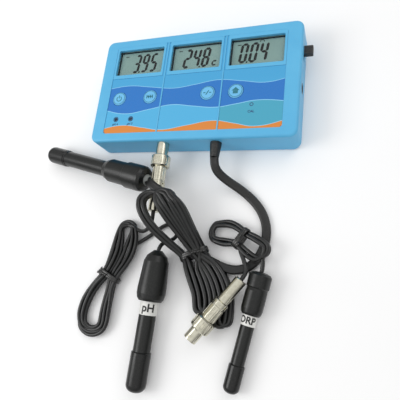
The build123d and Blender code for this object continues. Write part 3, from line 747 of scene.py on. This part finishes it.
# ---------------------------------------------------------------- monitor
@dataclass
class Displays:
    """The three displays: clear panes, dark frames of painted shadow and slanted seven segment figures."""

    pitch: float = 48.8
    centre_y: float = 24.5
    width: float = 41.5
    height: float = 23.6
    pane_margin: float = 1.0
    cell_top: float = 21.6
    pane_low: float = 21.95
    pane_top: float = 22.8
    figure_height: float = 17.2
    figure_width: float = 6.3
    figure_step: float = 7.7
    bar: float = 2.1
    slant: float = 0.13
    foot_rise: float = 4.3
    point_span: tuple[Flat, Flat] = ((-2.35, -1.15), (-1.05, 0.35))
    minus_ends: Flat = (-15.8, -12.8)
    minus_rise: float = 7.5
    minus_bar: float = 0.7
    unit_size: Flat = (3.2, 7.0)
    unit_bar: float = 1.2
    # width of the painted shadow band along each cell's top and left; the bottom and right bands are half as
    # wide
    rim: float = 1.3

    readings: tuple[tuple[str, float], ...] = (("3.95", -56.0), ("24.8", -10.6), ("0.04", 35.2))

    lit: tuple[tuple[str, str], ...] = (
        ("0", "abcdef"),
        ("2", "abged"),
        ("3", "abgcd"),
        ("4", "fgbc"),
        ("5", "afgcd"),
        ("8", "abcdefg"),
        ("9", "abcdfg"),
    )

    def segment(self, letter: str, width: float, height: float) -> tuple[Flat, Flat]:
        """The two ends of a segment in a figure of that size."""
        half = height / 2
        ends = {
            "a": ((0.0, height), (width, height)),
            "b": ((width, height), (width, half)),
            "c": ((width, half), (width, 0.0)),
            "d": ((0.0, 0.0), (width, 0.0)),
            "e": ((0.0, half), (0.0, 0.0)),
            "f": ((0.0, height), (0.0, half)),
            "g": ((0.0, half), (width, half)),
        }
        return ends[letter]

    def bar_outline(self, start: Flat, end: Flat, bar: float) -> list[Flat]:
        """A six sided segment with pointed ends, a little short of its ends."""
        way = Vector((end[0] - start[0], end[1] - start[1])).normalized()
        side = Vector((-way.y, way.x)) * bar / 2
        gap = 0.12
        first = Vector(start) + way * gap
        last = Vector(end) - way * gap
        point = way * bar / 2
        corners = [first, first + point + side, last - point + side]
        corners += [last, last - point - side, first + point - side]
        return [(corner.x, corner.y) for corner in corners]

    def figures(self, text: str, left: float, foot: float, plate: ThinPrint) -> None:
        """Adds one reading's figures and its decimal point.

        Args:
            text: the reading.
            left: where its first figure starts.
            foot: the level of the figures' feet.
            plate: what they are added to.
        """
        shapes = dict(self.lit)
        inner = (self.figure_width - self.bar, self.figure_height - self.bar)
        x = left
        for letter in text:
            if letter == ".":
                (near, far), (low, high) = self.point_span
                corners = ((near, low), (far, low), (far, high), (near, high))
                self.slanted(plate, [(x + px, foot + py) for px, py in corners], foot)
                continue
            for segment in shapes[letter]:
                start, end = self.segment(segment, *inner)
                points = self.bar_outline(start, end, self.bar)
                self.slanted(plate, [(x + px, foot + py) for px, py in points], foot)
            x += self.figure_step

    def slanted(self, plate: ThinPrint, points: list[Flat], foot: float) -> None:
        """Adds an outline that leans to the right from the foot level."""
        plate.outline([(x + (y - foot) * self.slant, y) for x, y in points])

    def build(self, shelf: Shelf) -> None:
        """Adds the panes, painted shadow frames and figures."""
        places = (-self.pitch, 0.0, self.pitch)
        foot = self.centre_y - self.height / 2 + self.foot_rise
        for index, (x, (text, left)) in enumerate(zip(places, self.readings)):
            plate = ThinPrint()
            self.figures(text, left, foot, plate)
            level = self.centre_y + self.minus_rise
            near, far = self.minus_ends
            plate.stroke((x + near, level), (x + far, level), self.minus_bar)
            if index == 1:
                degree = left + 3 * self.figure_step + 0.9
                for letter in "ged":
                    start, end = self.segment(letter, *self.unit_size)
                    outline = self.bar_outline(start, end, self.unit_bar)
                    self.slanted(plate, [(degree + px, foot + py) for px, py in outline], foot)
            if index == 2:
                plate.arc((x + 3.0, self.centre_y + 9.0), 1.5, 0.6, -20, 200)
            levels = (self.cell_top - 0.2, self.cell_top + 0.06)
            ink = plate.raised(f"lcd_figures_{index + 1}", *levels, shelf.get("lcd_ink"))
            fit(ink, MONITOR, "lcd_cell")
            pane = self.pane(f"display_pane_{index + 1}", x, shelf.get("window_clear"))
            fit(pane, MONITOR, "window_clear", "display_windows")
            # painted shadow: a dark frame, widest at top and left, in place of the shade cast by the window's
            # inner walls
            frame = self.shade_frame(f"display_shade_{index + 1}", x, shelf.get("window_shade"))
            fit(frame, MONITOR, "overlay_print")

    def pane(self, name: str, x: float, material: bpy.types.Material) -> bpy.types.Object:
        """A clear pane with eased edges, held under the window opening."""
        body = bmesh.new()
        half_x = self.width / 2 + self.pane_margin
        half_y = self.height / 2 + self.pane_margin
        ease = 0.25
        levels = (
            (self.pane_low, ease),
            (self.pane_low + ease, 0.0),
            (self.pane_top - ease, 0.0),
            (self.pane_top, ease),
        )
        rings = []
        for level, inset in levels:
            corners = [(-half_x + inset, -half_y + inset), (half_x - inset, -half_y + inset)]
            corners += [(half_x - inset, half_y - inset), (-half_x + inset, half_y - inset)]
            rings.append([body.verts.new(metres((x + cx, self.centre_y + cy, level))) for cx, cy in corners])
        body.faces.new(rings[0])
        body.faces.new(rings[-1])
        for low, high in zip(rings, rings[1:]):
            for i in range(4):
                j = (i + 1) % 4
                body.faces.new((low[i], low[j], high[j], high[i]))
        return piece_from(name, body, material, smooth=False)

    def shade_frame(self, name: str, x: float, material: bpy.types.Material) -> bpy.types.Object:
        """A dark border on the cell, seen through the pane's rim: painted shadow of the window's inner walls,
        wider along the top and left.
        """
        plate = ThinPrint()
        half_x, half_y, rim = self.width / 2, self.height / 2, self.rim
        left, right, low, high = x - half_x, x + half_x, self.centre_y - half_y, self.centre_y + half_y
        plate.stroke((left, high - rim / 2), (right, high - rim / 2), rim)
        plate.stroke((left, low + rim / 4), (right, low + rim / 4), rim / 2)
        plate.stroke((left + rim / 2, low + rim / 2), (left + rim / 2, high - rim), rim)
        plate.stroke((right - rim / 4, low + rim / 2), (right - rim / 4, high - rim), rim / 2)
        return plate.raised(name, self.cell_top - 0.2, self.cell_top + 0.12, material)


@dataclass
class FaceMarks:
    """The icons on the keys and the small marks by the calibration screws."""

    key_row: float = -9.0
    key_columns: tuple[float, ...] = (-61.9, -34.3, 13.9, 35.8)
    key_top: float = 25.3
    label_top: float = 24.6
    trimmers: tuple[Flat, ...] = ((-61.9, -27.3), (-48.6, -27.3))
    raise_by: float = 0.05
    sink: float = 0.2
    mark_drop: float = 4.4
    mark_size: float = 2.5

    def build(self, shelf: Shelf) -> None:
        """Adds each key's icon to its key, and the marks to the monitor."""
        drawers = (self.power, self.hold, self.memory, self.house)
        for index, (x, draw) in enumerate(zip(self.key_columns, drawers)):
            plate = ThinPrint()
            draw(plate, x, self.key_row)
            plate.arc((x, self.key_row), 4.9, 0.35, 0, 360)
            body = f"key_{index + 1}"
            levels = (self.key_top - self.sink, self.key_top + self.raise_by)
            icon = plate.raised(f"{body}_icon", *levels, shelf.get("icon_teal"))
            fit(icon, body, "overlay_print")
        self.words("cal_mark", "CAL", (48.6, -26.2), 2.6, shelf)
        marks = (("low_point_mark", "pH 4"), ("high_point_mark", "pH 7"))
        for (name, text), (x, y) in zip(marks, self.trimmers):
            self.words(name, text, (x, y - self.mark_drop), self.mark_size, shelf)
        ring = ThinPrint()
        for place in self.trimmers:
            ring.arc(place, 2.0, 0.5, 0, 360)
        ring.arc((48.6, -20.5), 1.2, 0.5, 0, 360)
        levels = (self.label_top - self.sink, self.label_top + self.raise_by)
        rings = ring.raised("screw_rings", *levels, shelf.get("mark_navy"))
        fit(rings, MONITOR, "overlay_print")

    def power(self, plate: ThinPrint, x: float, y: float) -> None:
        """An open ring with a bar, for the power key."""
        plate.arc((x, y - 0.2), 2.1, 0.7, 120, 420)
        plate.stroke((x, y + 0.2), (x, y + 2.9), 0.7)

    def hold(self, plate: ThinPrint, x: float, y: float) -> None:
        """Two upright bars with a dot between, for the hold key."""
        for side in (-1, 1):
            plate.stroke((x + side * 2.4, y - 1.5), (x + side * 2.4, y + 1.5), 0.8)
            plate.stroke((x + side * 0.8, y - 1.5), (x + side * 0.8, y + 1.5), 0.8)
        plate.stroke((x - 2.4, y), (x + 2.4, y), 0.6)

    def memory(self, plate: ThinPrint, x: float, y: float) -> None:
        """A slanted bar between two short lines, for the range key."""
        plate.stroke((x - 1.0, y - 1.8), (x + 1.0, y + 1.8), 0.7)
        plate.stroke((x - 3.2, y), (x - 1.4, y), 0.7)
        plate.stroke((x + 1.4, y), (x + 3.2, y), 0.7)

    def house(self, plate: ThinPrint, x: float, y: float) -> None:
        """A pointed roof over a box, for the lamp key."""
        plate.outline([(x - 3.0, y + 0.2), (x + 3.0, y + 0.2), (x, y + 3.0)])
        plate.stroke((x - 1.9, y - 1.1), (x + 1.9, y - 1.1), 2.4)

    def words(self, name: str, text: str, place: Flat, size: float, shelf: Shelf) -> None:
        """A small word laid on the label.

        Args:
            name: the piece's name.
            text: what it reads.
            place: its centre.
            size: its height.
            shelf: the finishes.
        """
        body = lettering(text, size, self.sink + self.raise_by)
        level = self.label_top + (self.raise_by - self.sink) / 2
        bmesh.ops.translate(body, verts=body.verts, vec=metres((place[0], place[1], level)))
        fit(piece_from(name, body, shelf.get("mark_navy"), smooth=False), MONITOR, "overlay_print")


# ---------------------------------------------------------------- probes
EC_LINE = Axle((-28.3, -76.8, 20.0), (-133.1, -48.9, 6.65))
PH_LINE = Axle((-14.3, -128.6, 12.128), (-19.8, -226.4, 6.888))
ORP_LINE = Axle((62.0, -137.8, 8.459), (46.6, -216.1, 5.247))


@dataclass
class BandWords:
    """Bold letters wrapped round a probe's white sleeve, tops toward the probe's tail."""

    name: str
    text: str
    line: Axle
    middle: float
    radius: float
    size: float
    lean: float
    facing: Point

    def build(self, shelf: Shelf) -> None:
        """Bends the flat letters round the sleeve."""
        thickness = 0.12
        body = lettering(self.text, self.size, thickness)
        step = 0.5 * MM
        reach = max(abs(v.co.x) for v in body.verts)
        cuts = int(reach / step)
        for i in range(-cuts, cuts + 1):
            parts = body.verts[:] + body.edges[:] + body.faces[:]
            bmesh.ops.bisect_plane(body, geom=parts, plane_co=(i * step, 0, 0), plane_no=(1, 0, 0), dist=1e-7)
        frame = self.line.matrix(self.middle, Vector(self.facing))
        for vertex in body.verts:
            angle = math.radians(self.lean) - vertex.co.x / (self.radius * MM)
            radius = self.radius * MM + vertex.co.z + thickness * 0.3 * MM
            vertex.co = frame @ Vector((radius * math.cos(angle), radius * math.sin(angle), -vertex.co.y))
        fit(piece_from(self.name, body, shelf.get("band_ink"), smooth=False), MONITOR, "band_white")


@dataclass
class TurnedPiece:
    """A ring or sleeve turned about a probe's line, from (radius, station) points."""

    name: str
    line: Axle
    profile: tuple[Flat, ...]
    finish: str
    slot: str
    body: str = MONITOR
    sides: int = 48

    def build(self, shelf: Shelf) -> None:
        """Turns the closed profile about the line."""
        frame = self.line.matrix(0.0, Vector((0, 0, 1)))
        body = bmesh.new()
        rings = []
        for i in range(self.sides):
            angle = 2 * math.pi * i / self.sides
            points = [Vector((r * math.cos(angle), r * math.sin(angle), s)) * MM for r, s in self.profile]
            rings.append([body.verts.new(frame @ point) for point in points])
        count = len(self.profile)
        for i in range(self.sides):
            here, there = rings[i], rings[(i + 1) % self.sides]
            for j in range(count):
                k = (j + 1) % count
                body.faces.new((here[j], there[j], there[k], here[k]))
        fit(piece_from(self.name, body, shelf.get(self.finish)), self.body, self.slot)


# ---------------------------------------------------------------- cords
@dataclass(frozen=True)
class Station:
    """A place along a hank: its middle, which way it runs, its half width and its strands' levels."""

    x: float
    y: float
    heading: float
    half: float
    low: float
    high: float


@dataclass(frozen=True)
class Turn:
    """One turn of a hank: where it runs down and up, and how far its bights reach past the ends.

    The shares go from -1 at the hank's right hand side to 1 at its left, first above the tie and
    then below it. The levels go from 0 at the hank's bottom to 1 at its top.
    """

    down: Flat
    up: Flat
    down_level: float
    up_level: float
    top_reach: float
    low_reach: float


class Hank:
    """A tied hank's course, from its stations."""

    least_straight = 2.0

    def __init__(self, stations: tuple[Station, ...], tie: int) -> None:
        """Takes the stations from one end to the other, and which of them is at the tie."""
        self.stations = stations
        self.tie = tie

    def at(self, index: int, share: float, level: float, beyond: float = 0.0) -> Vector:
        """A point of a strand beside a station.

        Args:
            index: the station.
            share: how far to the left, of its half width.
            level: how far up between its levels.
            beyond: how far further along the hank, in millimetres.

        Returns:
            The point, in millimetres.
        """
        spot = self.stations[index]
        way = math.radians(spot.heading)
        left = Vector((math.sin(way), -math.cos(way), 0.0)) * spot.half * share
        on = Vector((math.cos(way), math.sin(way), 0.0)) * beyond
        return Vector((spot.x, spot.y, blended(spot.low, spot.high, level))) + left + on

    def run(
        self, shares: Flat, level: float, first: int, last: int, sway: float, draw: random.Random
    ) -> list[Vector]:
        """A strand's points from one station to another, either way along the hank."""
        order = range(first, last + 1) if first <= last else range(first, last - 1, -1)
        points = []
        for index in order:
            share = shares[0] if index <= self.tie else shares[1]
            wander = draw.uniform(-sway, sway) * (0.3 if index == self.tie else 1.0)
            lift = min(1.0, max(0.0, level + draw.uniform(-0.1, 0.1)))
            points.append(self.at(index, share + wander, lift))
        return points

    def bight(self, index: int, start: Flat, end: Flat, reach: float) -> list[Vector]:
        """The round end that joins two strands past the first or last station.

        Args:
            index: the end station.
            start: the share and level that the turn comes in on.
            end: the share and level that it leaves on.
            reach: how far the bight stands out, in millimetres; below zero before the first station.

        Returns:
            Its points.
        """
        half_span = abs(end[0] - start[0]) * self.stations[index].half / 2
        straight = math.copysign(max(0.0, abs(reach) - half_span), reach)
        points = []
        for step in (0.0, 0.22, 0.5, 0.78, 1.0):
            if step in (0.0, 1.0) and abs(straight) < self.least_straight:
                continue
            out = straight + (reach - straight) * math.sin(math.pi * step)
            share = blended(start[0], end[0], (1 - math.cos(math.pi * step)) / 2)
            points.append(self.at(index, share, blended(start[1], end[1], step), out))
        return points


@dataclass
class Cord:
    """A cord: its free routes, the turns of its hank, and how it is swept or rounded."""

    name: str
    route: tuple[Point, ...]
    length: float
    diameter: float
    slot: str
    nodes: tuple[str, ...]

    def spline(self) -> bpy.types.Curve:
        """A smooth curve that has the route's points as its control points."""
        curve = bpy.data.curves.new(self.name, "CURVE")
        curve.dimensions = "3D"
        curve.resolution_u = 6
        line = curve.splines.new("NURBS")
        line.points.add(len(self.route) - 1)
        for control, point in zip(line.points, self.route):
            control.co = (*metres(point), 1.0)
        line.order_u = 3
        line.use_endpoint_u = True
        return curve

    def centreline(self) -> list[Vector]:
        """The points that the smooth curve passes through."""
        curve = self.spline()
        holder = bpy.data.objects.new("cord_line", curve)
        mesh = bpy.data.meshes.new_from_object(holder)
        points = [vertex.co.copy() for vertex in mesh.vertices]
        bpy.data.objects.remove(holder)
        bpy.data.meshes.remove(mesh)
        bpy.data.curves.remove(curve)
        return points

    def declare(
        self, piece: bpy.types.Object, path: list[Vector] | None, extras: list[bpy.types.Object]
    ) -> None:
        """Logs the cord's measured length beside its given length."""
        line = path or self.centreline()
        measured = sum((b - a).length for a, b in zip(line, line[1:]))
        log.info("cord %s measures %.3f m for %.3f m", self.name, measured, self.length)

    def build(self, shelf: Shelf, extras: list[bpy.types.Object]) -> None:
        """A round cord, as a curve with a round section."""
        curve = self.spline()
        curve.bevel_depth = self.diameter / 2 * MM
        curve.bevel_resolution = 4
        curve.use_fill_caps = True
        curve.materials.append(shelf.get("cord_black"))
        piece = bpy.data.objects.new(self.name, curve)
        bpy.context.scene.collection.objects.link(piece)
        fit(piece, MONITOR, self.slot, *self.nodes)
        self.declare(piece, None, extras)


@dataclass
class TwinCord(Cord):
    """A flat twin cord: two round cores side by side, swept with a twist along its line.

    twists holds the section's turn at each point of the route, in degrees: 0 lies flat and 90
    stands on edge.
    """

    twists: tuple[float, ...] = ()
    thickness: float = 3.4

    def section(self) -> list[Flat]:
        """The outline of the two joined cores, in metres."""
        core = self.thickness / 2
        apart = self.diameter / 2 - core
        waist = 0.55
        points = []
        for side, first in ((1, -90), (-1, 90)):
            for step in range(7):
                angle = math.radians(first + 30 * step)
                points.append(((side * apart + core * math.cos(angle)) * MM, core * math.sin(angle) * MM))
            points.append((0.0, side * core * waist * MM))
        return points

    def build(self, shelf: Shelf, extras: list[bpy.types.Object]) -> None:
        """Sweeps the section along the smooth line."""
        path = self.centreline()
        outline = self.section()
        body = bmesh.new()
        rings = []
        last = len(path) - 1
        upright = Vector((0, 0, 1))
        for index, place in enumerate(path):
            way = (path[min(index + 1, last)] - path[max(index - 1, 0)]).normalized()
            flat = upright.cross(way).normalized()
            rise = way.cross(flat)
            share = index / last * (len(self.twists) - 1)
            low = int(min(share, len(self.twists) - 2))
            turn = math.radians(blended(self.twists[low], self.twists[low + 1], share - low))
            wide = flat * math.cos(turn) + rise * math.sin(turn)
            thick = rise * math.cos(turn) - flat * math.sin(turn)
            rings.append([body.verts.new(place + wide * u + thick * v) for u, v in outline])
        count = len(outline)
        for here, there in zip(rings, rings[1:]):
            for j in range(count):
                k = (j + 1) % count
                body.faces.new((here[j], here[k], there[k], there[j]))
        body.faces.new(rings[0])
        body.faces.new(rings[-1])
        piece = fit(piece_from(self.name, body, shelf.get("cord_black")), MONITOR, self.slot, *self.nodes)
        self.declare(piece, path, extras)


@dataclass
class WireTie:
    """A twisted wire tie: a flat band wound round a hank's waist, with two twisted tails."""

    name: str
    middle: Point
    heading: float
    half: float
    rise: float
    tail_way: Point
    tail_length: float
    slot: str = "tie_black"
    wind: float = 2.2
    steps_per_turn: int = 28
    band: Flat = (2.4, 0.8)
    tail_band: Flat = (1.6, 0.7)
    tail_steps: int = 32
    tail_turns: float = 5.0
    tail_sag: float = 2.0
    open_from: float = 0.75

    def ribbon(self, body: bmesh.types.BMesh, path: list[Vector], wide_way: list[Vector], size: Flat) -> None:
        """Sweeps a flat eased strip along a path.

        Args:
            body: where its faces go.
            path: its middle line, in millimetres.
            wide_way: the direction of its width at each point.
            size: its width and thickness.
        """
        half_width, half_thick = size[0] / 2, size[1] / 2
        outline = [(math.cos(math.radians(a)), math.sin(math.radians(a))) for a in range(0, 360, 45)]
        rings = []
        last = len(path) - 1
        for index, place in enumerate(path):
            way = (path[min(index + 1, last)] - path[max(index - 1, 0)]).normalized()
            wide = (wide_way[index] - way * wide_way[index].dot(way)).normalized()
            thick = way.cross(wide)
            points = [place + wide * u * half_width + thick * v * half_thick for u, v in outline]
            rings.append([body.verts.new(point * MM) for point in points])
        for here, there in zip(rings, rings[1:]):
            for j in range(len(outline)):
                k = (j + 1) % len(outline)
                body.faces.new((here[j], here[k], there[k], there[j]))
        body.faces.new(rings[0])
        body.faces.new(rings[-1])

    def build(self, shelf: Shelf) -> bpy.types.Object:
        """Winds the band and twists its tails.

        Args:
            shelf: the finishes.

        Returns:
            The tie.
        """
        body = bmesh.new()
        way = math.radians(self.heading)
        on = Vector((math.cos(way), math.sin(way), 0.0))
        left = Vector((math.sin(way), -math.cos(way), 0.0))
        middle = Vector(self.middle)
        path, widths = [], []
        steps = int(self.wind * self.steps_per_turn)
        for step in range(steps + 1):
            angle = 2 * math.pi * step / self.steps_per_turn
            corner = 1.0 + 0.10 * math.sin(2 * angle) ** 2
            out = left * self.half * corner * math.cos(angle)
            lift = Vector((0, 0, self.rise * corner * math.sin(angle)))
            path.append(middle + out + lift + on * blended(-1.5, 1.5, step / steps))
            widths.append(on)
        self.ribbon(body, path, widths, self.band)
        tail = Vector(self.tail_way).normalized()
        root = middle + Vector((0, 0, self.rise + 0.3))
        side = tail.cross(Vector((0, 0, 1))).normalized()
        for strand in (0.0, math.pi):
            path, widths = [], []
            for step in range(self.tail_steps + 1):
                share = step / self.tail_steps
                angle = strand + share * self.tail_turns * math.pi
                opened = max(0.0, share - self.open_from)
                spread = 0.7 + 2.2 * opened
                swing = side * math.cos(angle) * spread + Vector((0, 0, math.sin(angle) * spread))
                drop = Vector((0, 0, -self.tail_sag * share**2))
                path.append(root + tail * self.tail_length * share + swing + drop)
                widths.append(side * math.cos(angle + 1.57) + Vector((0, 0, math.sin(angle + 1.57))))
            self.ribbon(body, path, widths, self.tail_band)
        return fit(piece_from(self.name, body, shelf.get(self.slot)), MONITOR, self.slot, "cord_ties")


class CordSet:
    """The three cords, each one line from end to end, with their hanks' ties."""

    ec_hank = Hank(
        (
            Station(-15.0, -94.0, -78, 14.0, 26.6, 27.6),
            Station(-12.0, -99.0, -70, 15.3, 26.6, 27.8),
            Station(-6.5, -106.5, -58, 15.0, 22.7, 24.0),
            Station(2.0, -117.0, -55, 11.5, 14.6, 16.4),
            Station(11.5, -128.2, -65, 7.6, 5.0, 8.0),
            Station(17.0, -136.5, -68, 11.5, 3.6, 3.9),
            Station(23.0, -145.0, -75, 13.6, 3.5, 3.7),
            Station(28.0, -156.0, -86, 14.2, 3.5, 3.7),
            Station(29.0, -164.0, -90, 13.8, 3.5, 3.7),
        ),
        tie=4,
    )
    ec_turns = (
        Turn((0.97, 0.95), (-0.66, 0.36), 0.6, 0.4, -6.8, 5.0),
        Turn((0.74, 0.66), (-0.83, 0.08), 0.2, 0.9, -5.6, 3.8),
        Turn((0.02, -0.16), (-1.00, -0.72), 0.9, 0.1, -6.4, 12.5),
        Turn((-0.16, -0.40), (-0.50, -0.96), 0.3, 0.7, -5.4, 11.2),
    )
    ph_hank = Hank(
        (
            Station(-47.0, -112.5, -93, 8.5, 2.0, 6.6),
            Station(-47.2, -121.0, -93, 11.0, 1.8, 7.0),
            Station(-48.5, -134.0, -100, 10.4, 1.8, 7.0),
            Station(-55.3, -149.5, -115, 6.8, 3.2, 7.8),
            Station(-60.0, -158.0, -108, 9.6, 1.8, 7.0),
            Station(-63.5, -168.0, -98, 12.6, 1.8, 6.8),
            Station(-65.0, -178.0, -92, 14.0, 1.8, 6.3),
            Station(-64.5, -184.0, -90, 13.4, 1.8, 5.6),
        ),
        tie=3,
    )
    orp_hank = Hank(
        (
            Station(27.0, -111.0, -5, 7.6, 1.9, 6.4),
            Station(34.0, -111.3, -10, 8.6, 1.8, 7.0),
            Station(39.5, -112.6, -20, 7.8, 3.0, 8.4),
            Station(45.8, -115.4, -33, 5.6, 5.8, 10.0),
            Station(53.5, -120.2, -33, 7.4, 7.6, 11.8),
            Station(59.5, -123.9, -33, 7.4, 7.8, 12.0),
        ),
        tie=3,
    )

    def __init__(self) -> None:
        """Starts the one seeded draw that the strands' small wanderings come from."""
        self.draw = random.Random(7)

    def ec_cord(self) -> TwinCord:
        """The conductivity probe's flat cord, from the gland over the hank to the probe."""
        free = (
            (22.4, -56.5, 17.0),
            (22.4, -62.0, 17.0),
            (24.4, -68.0, 13.4),
            (31.2, -73.0, 7.6),
            (42.0, -78.8, 2.4),
            (53.0, -88.0, 1.8),
            (60.0, -98.5, 1.8),
            (62.6, -110.8, 1.8),
            (60.2, -123.0, 1.8),
            (53.8, -133.0, 1.8),
            (44.0, -137.6, 2.2),
            (33.2, -136.4, 3.4),
            (23.0, -131.8, 5.2),
        )
        to_probe = (
            (-2.6, -94.4, 27.0),
            (-8.8, -89.6, 26.8),
            (-15.0, -85.9, 26.3),
            (-20.4, -82.4, 25.9),
            (-24.6, -79.3, 23.9),
            (-27.5, -77.0, 20.1),
            (-31.0, -76.1, 19.66),
        )
        hank, last = self.ec_hank, len(self.ec_hank.stations) - 1
        first_share, first_level = -0.34, 0.8
        coil = hank.run((first_share, 0.0), first_level, hank.tie, 0, 0.02, self.draw)
        share, level = first_share, first_level
        for number, turn in enumerate(self.ec_turns):
            coil += hank.bight(0, (share, level), (turn.down[0], turn.down_level), turn.top_reach)
            coil += hank.run(turn.down, turn.down_level, 0, last, 0.02, self.draw)
            ends = ((turn.down[1], turn.down_level), (turn.up[1], turn.up_level))
            coil += hank.bight(last, *ends, turn.low_reach)
            stop = 0 if number < len(self.ec_turns) - 1 else 2
            coil += hank.run((turn.up[0], turn.up[1]), turn.up_level, last, stop, 0.02, self.draw)
            share, level = turn.up[0], turn.up_level
        twists = [0.0] * (len(free) - 1) + [55.0] + [90.0] * len(coil)
        twists += [60.0, 20.0] + [0.0] * (len(to_probe) - 2)
        route = (*free, *(tuple(point) for point in coil), *to_probe)
        nodes = ("ec_cord_case", "ec_hank", "ec_cord_probe")
        return TwinCord("ec_twin_cord", route, 1.10, 6.6, "cord_black", nodes, tuple(twists))

    def wound(self, hank: Hank, turns: int, inner: Flat, entry: float, tail_stop: int) -> list[Point]:
        """Neat oval turns of a round cord, from the first station's right hand side.

        Args:
            hank: the hank's course.
            turns: how many turns it has.
            inner: the share of the half width that the smallest turn keeps, before and after the tie.
            entry: the share at which the free cord comes in.
            tail_stop: the station where the last strand leaves.

        Returns:
            The points, in millimetres.
        """
        last = len(hank.stations) - 1
        coil: list[Vector] = []
        share, level = entry, 0.5
        narrowest = 0.55
        for number in range(turns):
            nested = (number * 2 % turns) / max(1, turns - 1)
            size = blended(1.0, inner[0], nested)
            low_size = blended(1.0, inner[1], nested)
            end_size = max(size, narrowest)
            swell = self.draw.uniform(0.72, 0.86)
            down_level, up_level = (number + 0.5) / turns, 1.0 - (number + 0.5) / turns
            head, foot = hank.stations[0].half * end_size, hank.stations[-1].half * low_size
            coil += hank.bight(0, (share, level), (end_size, down_level), -head * swell)
            coil.append(hank.at(0, end_size, down_level))
            coil += hank.run((size, low_size), down_level, 1, last, 0.05, self.draw)
            ends = ((low_size, down_level), (-low_size, up_level))
            coil += hank.bight(last, *ends, foot * swell)
            if number < turns - 1:
                coil += hank.run((-size, -low_size), up_level, last, 1, 0.05, self.draw)
                coil.append(hank.at(0, -end_size, up_level))
            else:
                coil += hank.run((-size, -low_size), up_level, last, tail_stop, 0.05, self.draw)
            share, level = -end_size, up_level
        return [tuple(point) for point in coil]

    def ph_cord(self) -> Cord:
        """The acidity probe's cord, from its plug over the hank to the probe."""
        free = (
            (-20.2, -98.9, 17.6),
            (-20.2, -104.7, 17.6),
            (-21.6, -108.8, 15.2),
            (-26.4, -113.6, 11.0),
            (-33.2, -114.2, 7.0),
            (-40.0, -111.8, 4.8),
        )
        to_probe = (
            (-40.0, -124.4, 2.8),
            (-33.2, -120.1, 1.8),
            (-25.0, -113.9, 1.6),
            (-17.6, -107.5, 1.6),
            (-10.8, -105.5, 1.6),
            (-5.4, -109.2, 1.8),
            (-4.8, -115.8, 3.2),
            (-8.8, -120.6, 7.2),
            (-14.04, -124.01, 12.37),
            (-14.42, -130.79, 12.01),
        )
        coil = self.wound(self.ph_hank, 5, (0.16, 0.48), -0.9, 2)
        nodes = ("ph_cord_plug", "ph_hank", "ph_cord_probe")
        return Cord("ph_cord", (*free, *coil, *to_probe), 1.05, 3.0, "cord_black", nodes)

    def orp_cord(self) -> Cord:
        """The redox probe's cord, from the probe over the hank to its free plug."""
        free = ((61.58, -139.96, 8.37), (62.77, -133.88, 8.62))
        to_plug = (
            (45.0, -119.5, 9.2),
            (46.6, -125.0, 10.2),
            (49.6, -130.6, 11.2),
            (52.2, -136.8, 12.2),
            (51.66, -141.52, 12.9),
            (48.54, -145.68, 12.9),
        )
        hank = Hank(tuple(reversed(self.orp_hank.stations)), 2)
        flipped = tuple(Station(s.x, s.y, s.heading + 180, s.half, s.low, s.high) for s in hank.stations)
        coil = self.wound(Hank(flipped, 2), 4, (0.45, 0.50), -0.4, 3)
        nodes = ("orp_cord_probe", "orp_hank", "orp_cord_plug")
        return Cord("orp_cord", (*free, *coil, *to_plug), 0.45, 3.0, "cord_black", nodes)

    def build(self, shelf: Shelf) -> None:
        """Adds the ties, then the cords that they hold."""
        ec_tie = WireTie("ec_hank_tie", (11.5, -128.2, 6.1), -65, 10.8, 5.4, (1.0, 0.25, 0.1), 11.0)
        ph_tie = WireTie("ph_hank_tie", (-55.3, -149.5, 5.5), -115, 9.4, 4.7, (-1.0, 0.3, 0.0), 9.0)
        orp_tie = WireTie("orp_hank_tie", (45.8, -115.4, 7.9), -33, 8.2, 4.6, (0.5, 1.0, 0.0), 7.0)
        held = [tie.build(shelf) for tie in (ec_tie, ph_tie, orp_tie)]
        self.ec_cord().build(shelf, held[0:1])
        self.ph_cord().build(shelf, held[1:2])
        self.orp_cord().build(shelf, held[2:3])


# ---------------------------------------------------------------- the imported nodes' finishes
class Dresser:
    """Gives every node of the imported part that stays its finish."""

    def __init__(self, frame: dict) -> None:
        """Takes the loaded frame."""
        self.frame = frame

    def build(self, shelf: Shelf) -> None:
        """Assigns each node the finish of its material slot in the record."""
        slots = {part["node"]: part["material_slot"] for part in self.frame["record"]["subparts"]}
        for name, node in self.frame["nodes"].items():
            finish = shelf.get(slots[name])
            for slot in node.material_slots:
                slot.material = finish
            log.info("node %s in %s", name, finish.name)


def main() -> None:
    """Builds the room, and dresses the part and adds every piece."""
    logging.basicConfig(level=logging.INFO, format="%(message)s")
    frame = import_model()
    shelf = Shelf()
    Room().build()
    CordSet().build(shelf)
    Dresser(frame).build(shelf)
    Displays().build(shelf)
    FaceMarks().build(shelf)
    BandWords("ph_letters", "pH", PH_LINE, 41.0, 6.55, 7.6, 4.0, (0.436, 0.0, 0.9)).build(shelf)
    BandWords("orp_letters", "ORP", ORP_LINE, 32.5, 5.0, 6.2, 14.0, (0.21, 0.0, 0.98)).build(shelf)
    boot = ((2.9, -3.4), (3.5, -3.2), (4.3, -0.6), (4.6, 0.4), (2.9, 0.4))
    TurnedPiece("ec_cord_boot", EC_LINE, boot, "boot_grey", "probe_black").build(shelf)


if __name__ == "__main__":
    main()
